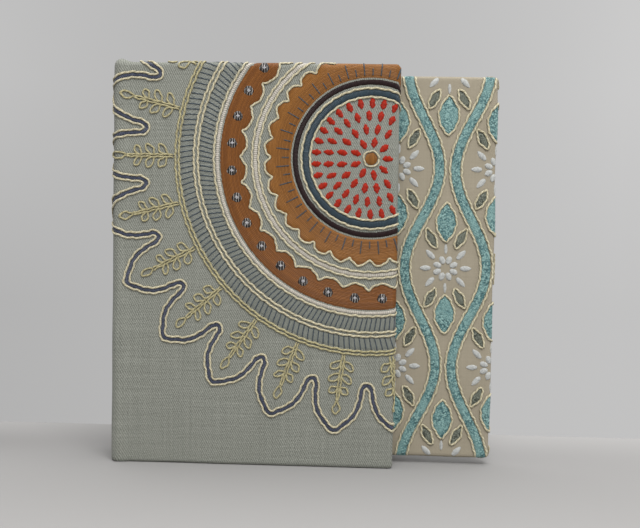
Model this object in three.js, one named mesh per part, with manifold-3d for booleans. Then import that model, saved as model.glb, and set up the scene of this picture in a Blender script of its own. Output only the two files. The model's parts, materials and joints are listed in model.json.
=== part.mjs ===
// Cloth-covered needle case: a flat slipcase with a closed spine and an open mouth,
// and a stiff needle board that slides in and out of it along X.
// Frame: millimetres, +Z up, +X towards the mouth, -Y is the embroidered front.
// The origin is at the middle of the base of the whole object in its part-open rest position.
import * as THREE from "three";
import Module from "manifold-3d";
import { mergeVertices } from "three/addons/utils/BufferGeometryUtils.js";

// ---- driving dimensions ----
const CASE_W = 73.0; // spine to mouth
const CASE_H = 104.0; // head to tail
const CASE_T = 17.0; // front to back
const INSERT_W = 70.0;
const INSERT_H = 100.1;
const INSERT_Z = 1.95; // lower edge of the insert above the base
const INSERT_FRONT = 7.2; // face of the insert behind the face of the slipcase
const OUT = 25.6; // how far the insert stands out of the mouth at rest

const CLOTH = 0.5;
const BOARD = 1.3;
const SPINE_BOARD = 1.2;
const END_BOARD = 0.7; // card that closes head and tail
const LINING = 0.3;
const END_LINING = 0.25;
const GLUE = 0.05; // paste line between layers
const TURN_IN = 8.0; // cloth folded round the mouth edge
const SPINE_R = 2.0; // rounded corner where the cover turns the spine
const MOUTH_MARGIN = 2.5; // lining stops this far inside the mouth

const WADDING = 1.1;
const CORE = 1.4;
const BACKING = 0.4;
const FELT = 1.0;
const FELT_W = 50.0;
const FELT_H = 80.0;
const PINK = 2.5; // pitch of the pinked felt edge
const NEEDLE_COUNT = 7;
const NEEDLE_D = 0.7;

// ---- derived places ----
const TOTAL_W = CASE_W + OUT;
const X0 = -TOTAL_W / 2; // outer face of the spine
const XM = X0 + CASE_W; // mouth
const X1 = TOTAL_W / 2; // outer edge of the insert
const XI = X1 - INSERT_W; // inner edge of the insert
const YF = -CASE_T / 2;
const YB = CASE_T / 2;

const root = new THREE.Group();
root.name = "needle_case";
const slipcase = new THREE.Group();
slipcase.name = "slipcase";
const insert = new THREE.Group();
insert.name = "insert";
root.add(slipcase, insert);

const mats = {
  twill: new THREE.MeshStandardMaterial({ color: 0x90938b, roughness: 0.9 }),
  lining: new THREE.MeshStandardMaterial({ color: 0xd8d0bd, roughness: 0.85 }),
  greyboard: new THREE.MeshStandardMaterial({ color: 0x8b857a, roughness: 0.9 }),
  brocade: new THREE.MeshStandardMaterial({ color: 0x74a09e, roughness: 0.8 }),
  wadding: new THREE.MeshStandardMaterial({ color: 0xf0ede6, roughness: 1.0 }),
  backing: new THREE.MeshStandardMaterial({ color: 0xa39b8b, roughness: 0.85 }),
  felt: new THREE.MeshStandardMaterial({ color: 0xe7dcc3, roughness: 1.0 }),
  thread: new THREE.MeshStandardMaterial({ color: 0x4f8582, roughness: 0.7 }),
  needle: new THREE.MeshStandardMaterial({ color: 0xc9c9c6, roughness: 0.25, metalness: 1.0 }),
};

function add(parent, name, geometry, material) {
  const mesh = new THREE.Mesh(geometry, material);
  mesh.name = name;
  parent.add(mesh);
  return mesh;
}

// A block between two corners.
function block(a, b) {
  const g = new THREE.BoxGeometry(b[0] - a[0], b[1] - a[1], b[2] - a[2]);
  g.translate((a[0] + b[0]) / 2, (a[1] + b[1]) / 2, (a[2] + b[2]) / 2);
  return g;
}

// A plan outline (X,Y) raised along Z.
function raised(points, z0, z1) {
  const shape = new THREE.Shape(points.map(([x, y]) => new THREE.Vector2(x, y)));
  const g = new THREE.ExtrudeGeometry(shape, { depth: z1 - z0, bevelEnabled: false });
  g.translate(0, 0, z0);
  return g;
}

// An arc of plan points, angles in degrees.
function arc(cx, cy, r, a0, a1, n) {
  const out = [];
  for (let i = 0; i <= n; i++) {
    const a = ((a0 + ((a1 - a0) * i) / n) * Math.PI) / 180;
    out.push([cx + r * Math.cos(a), cy + r * Math.sin(a)]);
  }
  return out;
}

const wasm = await Module();
wasm.setup();
function solid(geometry) {
  const g = geometry.clone();
  g.deleteAttribute("normal");
  g.deleteAttribute("uv");
  const m = mergeVertices(g, 1e-4);
  return new wasm.Manifold(
    new wasm.Mesh({
      numProp: 3,
      vertProperties: m.attributes.position.array,
      triVerts: new Uint32Array(m.index.array),
    }),
  );
}
function geometryOf(manifold) {
  const m = manifold.getMesh();
  const g = new THREE.BufferGeometry();
  g.setAttribute("position", new THREE.BufferAttribute(new Float32Array(m.vertProperties), 3));
  g.setIndex(new THREE.BufferAttribute(new Uint32Array(m.triVerts), 1));
  g.computeVertexNormals();
  return g;
}

// ---- slipcase: one length of cloth from the front turn-in round the spine to the back turn-in ----
{
  const yi = YF + CLOTH; // inside of the front cloth
  const yt = yi + 2 * GLUE + BOARD; // start of the turn-in behind the board
  const outer = [
    [XM, yt + CLOTH],
    [XM - TURN_IN, yt + CLOTH],
    [XM - TURN_IN, yt],
    [XM - CLOTH, yt],
    [XM - CLOTH, yi],
    ...arc(X0 + SPINE_R, YF + SPINE_R, SPINE_R - CLOTH, 270, 180, 6),
    ...arc(X0 + SPINE_R, YB - SPINE_R, SPINE_R - CLOTH, 180, 90, 6),
    [XM - CLOTH, -yi],
    [XM - CLOTH, -yt],
    [XM - TURN_IN, -yt],
    [XM - TURN_IN, -yt - CLOTH],
    [XM, -yt - CLOTH],
    [XM, YB],
    ...arc(X0 + SPINE_R, YB - SPINE_R, SPINE_R, 90, 180, 6),
    ...arc(X0 + SPINE_R, YF + SPINE_R, SPINE_R, 180, 270, 6),
    [XM, YF],
  ];
  // The turn-ins stop below the head strip and above the tail strip.
  let cloth = solid(raised(outer, 0, CASE_H));
  for (const [a, b] of [[CASE_H - CLOTH - GLUE, CASE_H + 1], [-1, CLOTH + GLUE]])
    cloth = cloth.subtract(solid(block([XM - TURN_IN - 1, yi, a], [XM - CLOTH, -yi, b])));
  add(slipcase, "outer_cloth", geometryOf(cloth), mats.twill);
}

const boardY0 = YF + CLOTH + GLUE; // outer face of the front board
const boardY1 = boardY0 + BOARD;
const spineX0 = X0 + CLOTH + GLUE;
const spineX1 = spineX0 + SPINE_BOARD;
const zBoard0 = CLOTH + GLUE;
const zBoard1 = CASE_H - CLOTH - GLUE;
const zEnd0 = zBoard0 + END_BOARD; // inner face of the tail card
const zEnd1 = zBoard1 - END_BOARD;
const boardX1 = XM - CLOTH - GLUE;
const cornerIn = 1.5; // the boards are cut short of the rounded corner

for (const [name, s] of [["front_board", 1], ["back_board", -1]]) {
  const y0 = s > 0 ? boardY0 : -boardY1;
  const y1 = s > 0 ? boardY1 : -boardY0;
  add(
    slipcase,
    name,
    block([spineX1 + GLUE, y0, zBoard0], [boardX1, y1, zBoard1]),
    mats.greyboard,
  );
}
add(
  slipcase,
  "spine_board",
  block([spineX0, boardY0 + cornerIn, zBoard0], [spineX1, -boardY0 - cornerIn, zBoard1]),
  mats.greyboard,
);
// Head and tail cards stand between the two side boards.
const cardY = -boardY1 - GLUE; // half the width of the card
// They are cut narrower at the mouth, to pass between the cloth turn-ins.
const cardN = cardY - CLOTH - GLUE;
const cardStep = XM - TURN_IN - GLUE;
const cardPlan = [
  [spineX1 + GLUE, -cardY],
  [cardStep, -cardY],
  [cardStep, -cardN],
  [boardX1 - GLUE, -cardN],
  [boardX1 - GLUE, cardN],
  [cardStep, cardN],
  [cardStep, cardY],
  [spineX1 + GLUE, cardY],
];
add(slipcase, "head_card", raised(cardPlan, zEnd1, zBoard1), mats.greyboard);
add(slipcase, "tail_card", raised(cardPlan, zBoard0, zEnd0), mats.greyboard);
// Cloth strips over the head and tail cards, with their own turn-in at the mouth.
function endCloth(name, z0, z1, zin0, zin1) {
  const y = -YF - CLOTH - GLUE;
  const yIn = -(YF + 2 * CLOTH + BOARD + 3 * GLUE);
  const flat = solid(block([X0 + CLOTH + SPINE_R, -y, z0], [XM - CLOTH - GLUE, y, z1]));
  const edge = solid(
    block([boardX1 - 0.6 * GLUE, -yIn, Math.min(z0, zin0)], [XM, yIn, Math.max(z1, zin1)]),
  );
  add(slipcase, name, geometryOf(flat.add(edge)), mats.twill);
}
endCloth("head_cloth", CASE_H - CLOTH, CASE_H, zEnd1, zBoard1);
endCloth("tail_cloth", 0, CLOTH, zBoard0, zEnd0);

// ---- slipcase linings ----
const liningX0 = spineX1 + GLUE;
const linXi = liningX0 + LINING + GLUE;
{
  // The side linings step over the cloth turn-ins and stop short of the mouth.
  const yBase = boardY1 + GLUE;
  const yStep = yBase + CLOTH + GLUE;
  const step = XM - TURN_IN - 0.4;
  const end = XM - MOUTH_MARGIN;
  const z0 = zEnd0 + GLUE + END_LINING + GLUE;
  const z1 = zEnd1 - GLUE - END_LINING - GLUE;
  const p = [
    [linXi, yBase],
    [step - 1.2, yBase],
    [step, yStep],
    [end, yStep],
    [end, yStep + LINING],
    [step - 0.1, yStep + LINING],
    [step - 1.3, yBase + LINING],
    [linXi, yBase + LINING],
  ];
  add(slipcase, "front_lining", raised(p, z0, z1), mats.lining);
  const q = p.map(([x, y]) => [x, -y]).reverse();
  add(slipcase, "back_lining", raised(q, z0, z1), mats.lining);
  add(
    slipcase,
    "spine_lining",
    block([liningX0, boardY1 + GLUE, z0], [liningX0 + LINING, -boardY1 - GLUE, z1]),
    mats.lining,
  );
  const yEnd = -(boardY1 + GLUE);
  const yNarrow = -(yStep + LINING + GLUE);
  // The end linings cover the cards between the side walls, narrower past the turn-ins.
  for (const [name, za, zb] of [
    ["head_lining", zEnd1 - GLUE - END_LINING, zEnd1 - GLUE],
    ["tail_lining", zEnd0 + GLUE, zEnd0 + GLUE + END_LINING],
  ]) {
    const plan = [
      [liningX0, -yEnd],
      [step - 1.6, -yEnd],
      [step - 1.6, -yNarrow],
      [end, -yNarrow],
      [end, yNarrow],
      [step - 1.6, yNarrow],
      [step - 1.6, yEnd],
      [liningX0, yEnd],
    ];
    add(slipcase, name, raised(plan, za, zb), mats.lining);
  }
}

// ---- insert: wadded board wrapped in cloth ----
const iy0 = YF + INSERT_FRONT; // cloth face
const iy1 = iy0 + CLOTH;
const wad0 = iy1 + GLUE;
const wad1 = wad0 + WADDING;
const core0 = wad1 + GLUE;
const core1 = core0 + CORE;
const turn0 = core1 + GLUE;
const turn1 = turn0 + CLOTH;
const iz0 = INSERT_Z;
const iz1 = INSERT_Z + INSERT_H;
const FLANGE = 7.0; // cloth turned to the back of the board
{
  const shell = solid(block([XI, iy0, iz0], [X1, turn1, iz1]));
  const hollow = solid(
    block([XI + CLOTH, iy1, iz0 + CLOTH], [X1 - CLOTH, turn0, iz1 - CLOTH]),
  );
  const window_ = solid(
    block(
      [XI + CLOTH + FLANGE, turn0 - 0.1, iz0 + CLOTH + FLANGE],
      [X1 - CLOTH - FLANGE, turn1 + 1, iz1 - CLOTH - FLANGE],
    ),
  );
  add(insert, "insert_cloth", geometryOf(shell.subtract(hollow).subtract(window_)), mats.brocade);
  const e = CLOTH + GLUE;
  add(insert, "insert_wadding", block([XI + e, wad0, iz0 + e], [X1 - e, wad1, iz1 - e]), mats.wadding);
  add(insert, "insert_board", block([XI + e, core0, iz0 + e], [X1 - e, core1, iz1 - e]), mats.greyboard);
}
// Backing panel: fills the window inside the turn-ins and laps over them.
const back0 = turn1 + GLUE;
const back1 = back0 + BACKING;
{
  const w = CLOTH + FLANGE + 0.3;
  const m = 2.0;
  const fill = solid(block([XI + w, turn0, iz0 + w], [X1 - w, back1, iz1 - w]));
  const lap = solid(block([XI + m, back0, iz0 + m], [X1 - m, back1, iz1 - m]));
  add(insert, "insert_backing", geometryOf(fill.add(lap)), mats.backing);
}
// Needle pad: felt with a pinked edge, sewn to the backing.
const felt0 = back1 + GLUE;
const felt1 = felt0 + FELT;
const feltCx = (XI + X1) / 2;
const feltCz = (iz0 + iz1) / 2;
{
  const nx = Math.round(FELT_W / PINK);
  const nz = Math.round(FELT_H / PINK);
  const hw = (nx * PINK) / 2;
  const hh = (nz * PINK) / 2;
  const d = PINK * 0.42;
  const pts = [];
  for (let i = 0; i < nx; i++) pts.push([-hw + i * PINK, -hh + d], [-hw + (i + 0.5) * PINK, -hh]);
  for (let i = 0; i < nz; i++) pts.push([hw - d, -hh + d + i * ((2 * hh - 2 * d) / nz)], [hw, -hh + d + (i + 0.5) * ((2 * hh - 2 * d) / nz)]);
  for (let i = 0; i < nx; i++) pts.push([hw - i * PINK, hh - d], [hw - (i + 0.5) * PINK, hh]);
  for (let i = 0; i < nz; i++) pts.push([-hw + d, hh - d - i * ((2 * hh - 2 * d) / nz)], [-hw, hh - d - (i + 0.5) * ((2 * hh - 2 * d) / nz)]);
  pts[0] = [-hw + d, -hh + d];
  pts[2 * nx] = [hw - d, -hh + d];
  pts[2 * nx + 2 * nz] = [hw - d, hh - d];
  const shape = new THREE.Shape(pts.map(([x, z]) => new THREE.Vector2(x, z)));
  const g = new THREE.ExtrudeGeometry(shape, { depth: FELT, bevelEnabled: false });
  g.rotateX(Math.PI / 2); // plan (x, y) becomes (x, z), raised towards -Y
  g.translate(feltCx, felt1, feltCz);
  add(insert, "needle_felt", g, mats.felt);
}
// Thread that holds the felt down, a rectangle of stitching inside its edge.
{
  const t = 0.3;
  const inX = FELT_W / 2 - 4.0;
  const inZ = FELT_H / 2 - 4.0;
  const ring = solid(block([feltCx - inX, felt1 + GLUE, feltCz - inZ], [feltCx + inX, felt1 + GLUE + t, feltCz + inZ])).subtract(
    solid(block([feltCx - inX + 0.5, felt1 - 1, feltCz - inZ + 0.5], [feltCx + inX - 0.5, felt1 + 2, feltCz + inZ - 0.5])),
  );
  add(insert, "felt_stitching", geometryOf(ring), mats.thread);
}
// Sewing needles lying on the felt, points down, in a row.
{
  const pitch = 5.2;
  for (let i = 0; i < NEEDLE_COUNT; i++) {
    const len = 44 - 3.2 * Math.abs(i - (NEEDLE_COUNT - 1) / 2);
    const r = (NEEDLE_D / 2) * (1 - 0.06 * Math.abs(i - (NEEDLE_COUNT - 1) / 2));
    const profile = [
      new THREE.Vector2(0, 0),
      new THREE.Vector2(r * 0.55, len * 0.05),
      new THREE.Vector2(r, len * 0.16),
      new THREE.Vector2(r, len * 0.96),
      new THREE.Vector2(r * 0.7, len * 0.99),
      new THREE.Vector2(0, len),
    ];
    const g = new THREE.LatheGeometry(profile, 8);
    g.rotateX(Math.PI / 2); // along +Z
    g.translate(feltCx + (i - (NEEDLE_COUNT - 1) / 2) * pitch, felt1 + GLUE + 0.42, feltCz - 20 + (i % 2));
    add(insert, "needle_" + (i + 1), g, mats.needle);
  }
}

export default root;
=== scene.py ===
import json
import math
import random

import bpy
import numpy as np
from mathutils import Matrix, Vector
from mathutils.geometry import delaunay_2d_cdt

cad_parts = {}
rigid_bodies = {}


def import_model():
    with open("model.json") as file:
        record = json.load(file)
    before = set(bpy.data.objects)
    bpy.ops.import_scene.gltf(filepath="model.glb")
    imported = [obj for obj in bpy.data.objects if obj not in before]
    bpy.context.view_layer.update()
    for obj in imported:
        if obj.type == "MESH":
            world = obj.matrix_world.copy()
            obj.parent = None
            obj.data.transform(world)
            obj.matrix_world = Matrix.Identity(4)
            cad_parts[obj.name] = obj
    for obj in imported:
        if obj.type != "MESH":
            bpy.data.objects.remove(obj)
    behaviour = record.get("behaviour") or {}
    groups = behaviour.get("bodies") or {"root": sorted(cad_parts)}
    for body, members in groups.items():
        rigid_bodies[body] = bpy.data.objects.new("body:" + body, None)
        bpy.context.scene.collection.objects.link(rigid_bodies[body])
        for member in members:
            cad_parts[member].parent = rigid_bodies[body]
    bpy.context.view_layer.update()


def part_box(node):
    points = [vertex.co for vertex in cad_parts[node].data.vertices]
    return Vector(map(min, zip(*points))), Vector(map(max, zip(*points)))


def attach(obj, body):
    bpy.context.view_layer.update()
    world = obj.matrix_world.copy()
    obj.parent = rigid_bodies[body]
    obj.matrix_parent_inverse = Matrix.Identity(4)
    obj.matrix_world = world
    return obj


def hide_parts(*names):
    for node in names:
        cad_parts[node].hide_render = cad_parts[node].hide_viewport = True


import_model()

MM = 0.001
rng = np.random.default_rng(7)
random.seed(7)

# ------------------------------------------------------------------ sizes, from the frame, in mm
def box_mm(name):
    lo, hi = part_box(name)
    return np.array(lo) / MM, np.array(hi) / MM

c_lo, c_hi = box_mm("outer_cloth")
X0, XM = c_lo[0], c_hi[0]           # spine and mouth
YF, YB = c_lo[1], c_hi[1]
H = c_hi[2]
i_lo, i_hi = box_mm("insert_cloth")
XI, X1 = i_lo[0], i_hi[0]
IZ0, IZ1 = i_lo[2], i_hi[2]
IY0, IY1 = i_lo[1], i_hi[1]

# ------------------------------------------------------------------ camera (the photograph's viewing angle)
def look(yaw, pitch, roll):
    cy, sy = math.cos(yaw), math.sin(yaw)
    cp, sp = math.cos(pitch), math.sin(pitch)
    cr, sr = math.cos(roll), math.sin(roll)
    fwd = Vector((sy * cp, cy * cp, -sp))
    right = Vector((cy, -sy, 0))
    up = right.cross(fwd)
    r2 = right * cr + up * sr
    u2 = -right * sr + up * cr
    return r2, u2, fwd

cam_data = bpy.data.cameras.new("camera")
cam = bpy.data.objects.new("camera", cam_data)
bpy.context.scene.collection.objects.link(cam)
r2, u2, fwd = look(math.radians(-2.62), math.radians(2.88), math.radians(1.03))
m = Matrix.Identity(4)
for i in range(3):
    m[i][0], m[i][1], m[i][2] = r2[i], u2[i], -fwd[i]
m[0][3], m[1][3], m[2][3] = (X0 + 65.69) * MM, (YF - 269.54) * MM, 66.43 * MM
cam.matrix_world = m
cam_data.sensor_width = 36.0
cam_data.lens = 1050.0 / 640.0 * 36.0
cam_data.clip_start, cam_data.clip_end = 0.01, 20
bpy.context.scene.camera = cam

# ------------------------------------------------------------------ mesh helpers
def build(name, verts, quads=None, tris=None, uv=None, smooth=True, mat=None):
    """A mesh from arrays. verts in mm; uv per vertex, in mm."""
    me = bpy.data.meshes.new(name)
    q = np.zeros((0, 4), int) if quads is None else np.asarray(quads, int).reshape(-1, 4)
    t = np.zeros((0, 3), int) if tris is None else np.asarray(tris, int).reshape(-1, 3)
    me.vertices.add(len(verts))
    me.vertices.foreach_set("co", (np.asarray(verts, float) * MM).ravel())
    loops = np.concatenate([q.ravel(), t.ravel()])
    me.loops.add(len(loops))
    me.loops.foreach_set("vertex_index", loops)
    starts = np.concatenate([np.arange(len(q)) * 4, 4 * len(q) + np.arange(len(t)) * 3])
    me.polygons.add(len(starts))
    me.polygons.foreach_set("loop_start", starts)
    if uv is not None:
        layer = me.uv_layers.new(name="UVMap")
        layer.data.foreach_set("uv", np.asarray(uv, float)[loops].ravel())
    me.update(calc_edges=True)
    me.validate()
    me.polygons.foreach_set("use_smooth", np.full(len(me.polygons), smooth))
    ob = bpy.data.objects.new(name, me)
    bpy.context.scene.collection.objects.link(ob)
    if mat is not None:
        me.materials.append(mat)
    return ob


class Parts:
    """Gathers small meshes into one."""

    def __init__(self):
        self.v, self.q, self.t, self.uv, self.n = [], [], [], [], 0

    def add(self, v, q=None, t=None, uv=None):
        v = np.asarray(v, float)
        if not len(v):
            return
        self.v.append(v)
        self.uv.append(np.asarray(uv, float) if uv is not None else np.zeros((len(v), 2)))
        if q is not None and len(q):
            self.q.append(np.asarray(q, int) + self.n)
        if t is not None and len(t):
            self.t.append(np.asarray(t, int) + self.n)
        self.n += len(v)

    def make(self, name, mat, smooth=True):
        if not self.v:
            return None
        return build(
            name,
            np.concatenate(self.v),
            np.concatenate(self.q) if self.q else None,
            np.concatenate(self.t) if self.t else None,
            np.concatenate(self.uv),
            smooth,
            mat,
        )


def noise1(x, seed, scales=(3.1, 1.7, 0.93)):
    r = np.random.default_rng(seed)
    x = np.asarray(x, float)
    out = 0
    for i, s in enumerate(scales):
        out = out + np.sin(2 * np.pi * x / s + r.uniform(0, 6.28)) / (i + 1)
    return out / 1.8


def noise2(x, y, seed, size=20.0, n=7):
    r = np.random.default_rng(seed)
    out = 0
    for _ in range(n):
        a = r.uniform(0, 2 * np.pi)
        k = 2 * np.pi / (size * r.uniform(0.45, 1.6))
        out = out + np.sin((x * np.cos(a) + y * np.sin(a)) * k + r.uniform(0, 6.28))
    return out / n ** 0.5


class Wrap:
    """Cloth wrapped round a board: a plan path with an outward normal, and rolled upper and lower edges.
    Its flat co-ordinates are x (along the path, mm) and z; h is the height above the cloth."""

    def __init__(self, path, x_of_start, sign, z0, z1, re, seed, inner=(0, 0), puff=0.05):
        p = np.array(path, float)
        d = np.linalg.norm(np.diff(p, axis=0), axis=1)
        self.p, self.s = p, np.concatenate([[0], np.cumsum(d)])
        self.length = self.s[-1]
        seg = np.diff(p, axis=0) / d[:, None]
        t = np.vstack([seg[:1], seg[1:] + seg[:-1], seg[-1:]])
        t /= np.linalg.norm(t, axis=1)[:, None]
        self.n = np.stack([-t[:, 1], t[:, 0]], 1) * sign
        self.x_start, self.z0, self.z1, self.re, self.seed = x_of_start, z0, z1, re, seed
        self.inner, self.puff = inner, puff
        self.swell = None

    def s_of(self, x):
        return x - self.x_start

    def at(self, x, z, h):
        """x is s + x_start. Returns points in mm."""
        s = np.asarray(x, float) - self.x_start
        z, h = np.asarray(z, float), np.asarray(h, float)
        s, z, h = np.broadcast_arrays(s, z, h)
        bx, by = np.interp(s, self.s, self.p[:, 0]), np.interp(s, self.s, self.p[:, 1])
        nx, ny = np.interp(s, self.s, self.n[:, 0]), np.interp(s, self.s, self.n[:, 1])
        l = np.hypot(nx, ny)
        nx, ny = nx / l, ny / l
        h = h + self.puff * noise2(s, z, self.seed, 26.0)
        if self.swell:
            a, b, m = self.swell
            w = np.clip((s - a) / 4.0, 0, 1) * np.clip((b - s) / 4.0, 0, 1)
            h = h + m * w * w * (3 - 2 * w)
        # the turned-in ends are a little shorter and don't roll over the edge
        q = np.ones_like(s)
        if self.inner[0] or self.inner[1]:
            a, b = self.inner
            q = np.clip((s - a) / 3.0, 0, 1) * np.clip((self.length - b - s) / 3.0, 0, 1)
        mid = (self.z0 + self.z1) / 2
        z = mid + (z - mid) * (1 - (1 - q) * 0.06)
        re = self.re
        up = np.clip((z - (self.z1 - re)) / re, 0, None)
        dn = np.clip(((self.z0 + re) - z) / re, 0, None)
        a = np.minimum(up + dn, np.pi / 2)
        extra = (up + dn - a) * re
        zc = np.clip(z, self.z0 + re, self.z1 - re)
        sgn = np.where(up > 0, 1.0, -1.0)
        rad = np.where(a > 0, re + h, 0)
        ho = np.where(a > 0, -re + rad * np.cos(a) - extra, h)
        return np.stack([bx + ho * nx, by + ho * ny, np.maximum(zc + np.where(a > 0, rad * np.sin(a) * sgn, 0), 0.02)], -1)


def arc(cx, cy, r, a0, a1, n=8):
    a = np.radians(np.linspace(a0, a1, n + 1))
    return list(zip(cx + r * np.cos(a), cy + r * np.sin(a)))


TURN = 8.0
LIP = 1.2
RS = 2.0
case_path = (
    [(XM - TURN, YF + 2 * LIP)]
    + arc(XM - LIP, YF + LIP, LIP, 90, -90, 14)
    + arc(X0 + RS, YF + RS, RS, 270, 180, 12)
    + arc(X0 + RS, YB - RS, RS, 180, 90, 12)
    + arc(XM - LIP, YB - LIP, LIP, 90, -90, 14)
    + [(XM - TURN, YB - 2 * LIP)]
)
case_path = [case_path[0]] + [p for a, p in zip(case_path, case_path[1:]) if math.dist(a, p) > 1e-6]
CW = XM - X0
_s_front = (TURN - LIP) + math.pi * LIP            # path length to the start of the front flat
case = Wrap(case_path, 0.0, 1, 0.0, H, 0.9, 3, inner=(TURN - LIP, TURN - LIP), puff=0.05)
_s_back = _s_front + (CW - LIP - RS) + math.pi * RS / 2 + (YB - YF - 2 * RS) + math.pi * RS / 2

# the cloth stands off the spine board a little, so the spine is softly rounded
case.swell = (_s_front + (CW - LIP - RS) - 2.6, _s_back + 2.6, 0.85)


class Face:
    """Flat design co-ordinates of one face: x from the spine, z from the base."""

    def __init__(self, wrap, f):
        self.wrap, self.f = wrap, f

    def at(self, x, z, h):
        z = np.asarray(z, float)
        return self.wrap.at(self.f(np.asarray(x, float)), z, np.asarray(h, float) * np.clip(z / 1.5, 0.05, 1))


front = Face(case, lambda x: _s_front + (CW - LIP) - x)
back = Face(case, lambda x: _s_back + x - RS)

# ------------------------------------------------------------------ curve helpers (2-D, mm)
def catmull(pts, step=0.3, closed=False):
    p = np.array(pts, float)
    if len(p) < 3 and not closed:
        n = max(2, int(np.linalg.norm(p[-1] - p[0]) / step) + 1)
        return p[0] + (p[-1] - p[0]) * np.linspace(0, 1, n)[:, None]
    if closed:
        p = np.vstack([p[-1], p, p[0], p[1]])
    else:
        p = np.vstack([2 * p[0] - p[1], p, 2 * p[-1] - p[-2]])
    out = []
    for i in range(1, len(p) - 2):
        a, b, c, d = p[i - 1], p[i], p[i + 1], p[i + 2]
        t = np.linspace(0, 1, 12, endpoint=False)[:, None]
        out.append(0.5 * (2 * b + (c - a) * t + (2 * a - 5 * b + 4 * c - d) * t**2 + (3 * b - a - 3 * c + d) * t**3))
    out = np.vstack(out + ([p[-2][None]] if not closed else [out[0][:1]]))
    return resample(out, step)


def resample(p, step):
    p = np.asarray(p, float)
    d = np.linalg.norm(np.diff(p, axis=0), axis=1)
    keep = np.concatenate([[True], d > 1e-9])
    p = p[keep]
    s = np.concatenate([[0], np.cumsum(np.linalg.norm(np.diff(p, axis=0), axis=1))])
    n = max(2, int(round(s[-1] / step)) + 1)
    t = np.linspace(0, s[-1], n)
    return np.stack([np.interp(t, s, p[:, 0]), np.interp(t, s, p[:, 1])], 1)


def normals(p):
    t = np.gradient(p, axis=0)
    t /= np.maximum(np.linalg.norm(t, axis=1), 1e-9)[:, None]
    return t, np.stack([-t[:, 1], t[:, 0]], 1)


def offset(p, d):
    return resample(p + normals(p)[1] * np.broadcast_to(np.asarray(d, float), len(p))[:, None], 0.3)


def inside(poly, p):
    poly, p = np.asarray(poly, float), np.asarray(p, float)
    x, z = p[:, 0], p[:, 1]
    res = np.zeros(len(p), bool)
    j = len(poly) - 1
    for i in range(len(poly)):
        xi, zi, xj, zj = poly[i][0], poly[i][1], poly[j][0], poly[j][1]
        c = (zi > z) != (zj > z)
        with np.errstate(divide="ignore", invalid="ignore"):
            res ^= c & (x < (xj - xi) * (z - zi) / (zj - zi + 1e-30) + xi)
        j = i
    return res


def runs(p, ok, least=3):
    out, i = [], 0
    while i < len(p):
        if ok[i]:
            j = i
            while j < len(p) and ok[j]:
                j += 1
            if j - i >= least:
                out.append(p[i:j])
            i = j
        else:
            i += 1
    return out


def outward(v, out, q):
    """Faces turned the way of the vectors out (one per vertex)."""
    q = np.asarray(q)
    n_ = np.cross(v[q[:, 1]] - v[q[:, 0]], v[q[:, 2]] - v[q[:, 0]])
    flip = (n_ * out[q[:, 0]]).sum(1).sum() < 0
    return q[:, ::-1] if flip else q


# ------------------------------------------------------------------ thread builders
_seed = [100]


def tube(parts, face, p, width=0.85, high=0.62, h0=0.24, twist=1.2, wob=0.15, seg=8, step=0.27, closed=False, taper=True):
    """A couched cord along p."""
    p = resample(p, step)
    if len(p) < 3:
        return
    _seed[0] += 1
    t = np.arange(len(p)) * step
    _, n = normals(p)
    lat0 = wob * noise1(t, _seed[0], (2.9, 1.83, 4.7))
    if closed:
        lat0 *= np.clip(np.minimum(t, t[-1] - t) / 1.0, 0, 1)
    e = np.minimum(t, t[-1] - t)
    k0 = np.clip(0.45 + e / 0.4, 0, 1) if taper and not closed else np.ones_like(t)
    pinch = 1 - 0.10 * np.exp(-(((t / 2.6 + 0.3) % 1 - 0.5) / 0.12) ** 2)
    th = 2 * np.pi * np.arange(seg) / seg
    k = 1 + 0.055 * np.cos(2 * (th[None] - 2 * np.pi * t[:, None] / (2 * twist)))
    lat = lat0[:, None] + width / 2 * k * np.cos(th)[None] * (k0 * pinch)[:, None]
    hh = h0 + high / 2 * k * np.sin(th)[None] * k0[:, None] + 0.03 * noise1(t, _seed[0] + 9000)[:, None]
    x = p[:, None, 0] + n[:, None, 0] * lat
    z = p[:, None, 1] + n[:, None, 1] * lat
    v = face.at(x, z, hh).reshape(-1, 3)
    uv = np.stack(np.broadcast_arrays(t[:, None], th[None] / (2 * np.pi) * 2.0), -1).reshape(-1, 2)
    i, j = np.meshgrid(np.arange(len(p) - 1), np.arange(seg), indexing="ij")
    a, b = i * seg + j, i * seg + (j + 1) % seg
    q = np.stack([a, b, b + seg, a + seg], -1).reshape(-1, 4)
    mid_v = v.reshape(len(p), seg, 3).mean(1)
    out_v = (v.reshape(len(p), seg, 3) - mid_v[:, None]).reshape(-1, 3)
    q = outward(v, out_v, q)
    caps_v = face.at(p[[0, -1], 0] + n[[0, -1], 0] * lat0[[0, -1]], p[[0, -1], 1] + n[[0, -1], 1] * lat0[[0, -1]], h0)
    base = len(v)
    v = np.vstack([v, caps_v])
    uv = np.vstack([uv, [[0, 0], [t[-1], 0]]])
    jj = np.arange(seg)
    t0 = np.stack([np.full(seg, base), (jj + 1) % seg, jj], 1)
    l = (len(p) - 1) * seg
    t1 = np.stack([np.full(seg, base + 1), l + jj, l + (jj + 1) % seg], 1)
    parts.add(v, q, np.vstack([t0, t1]), uv)


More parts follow.
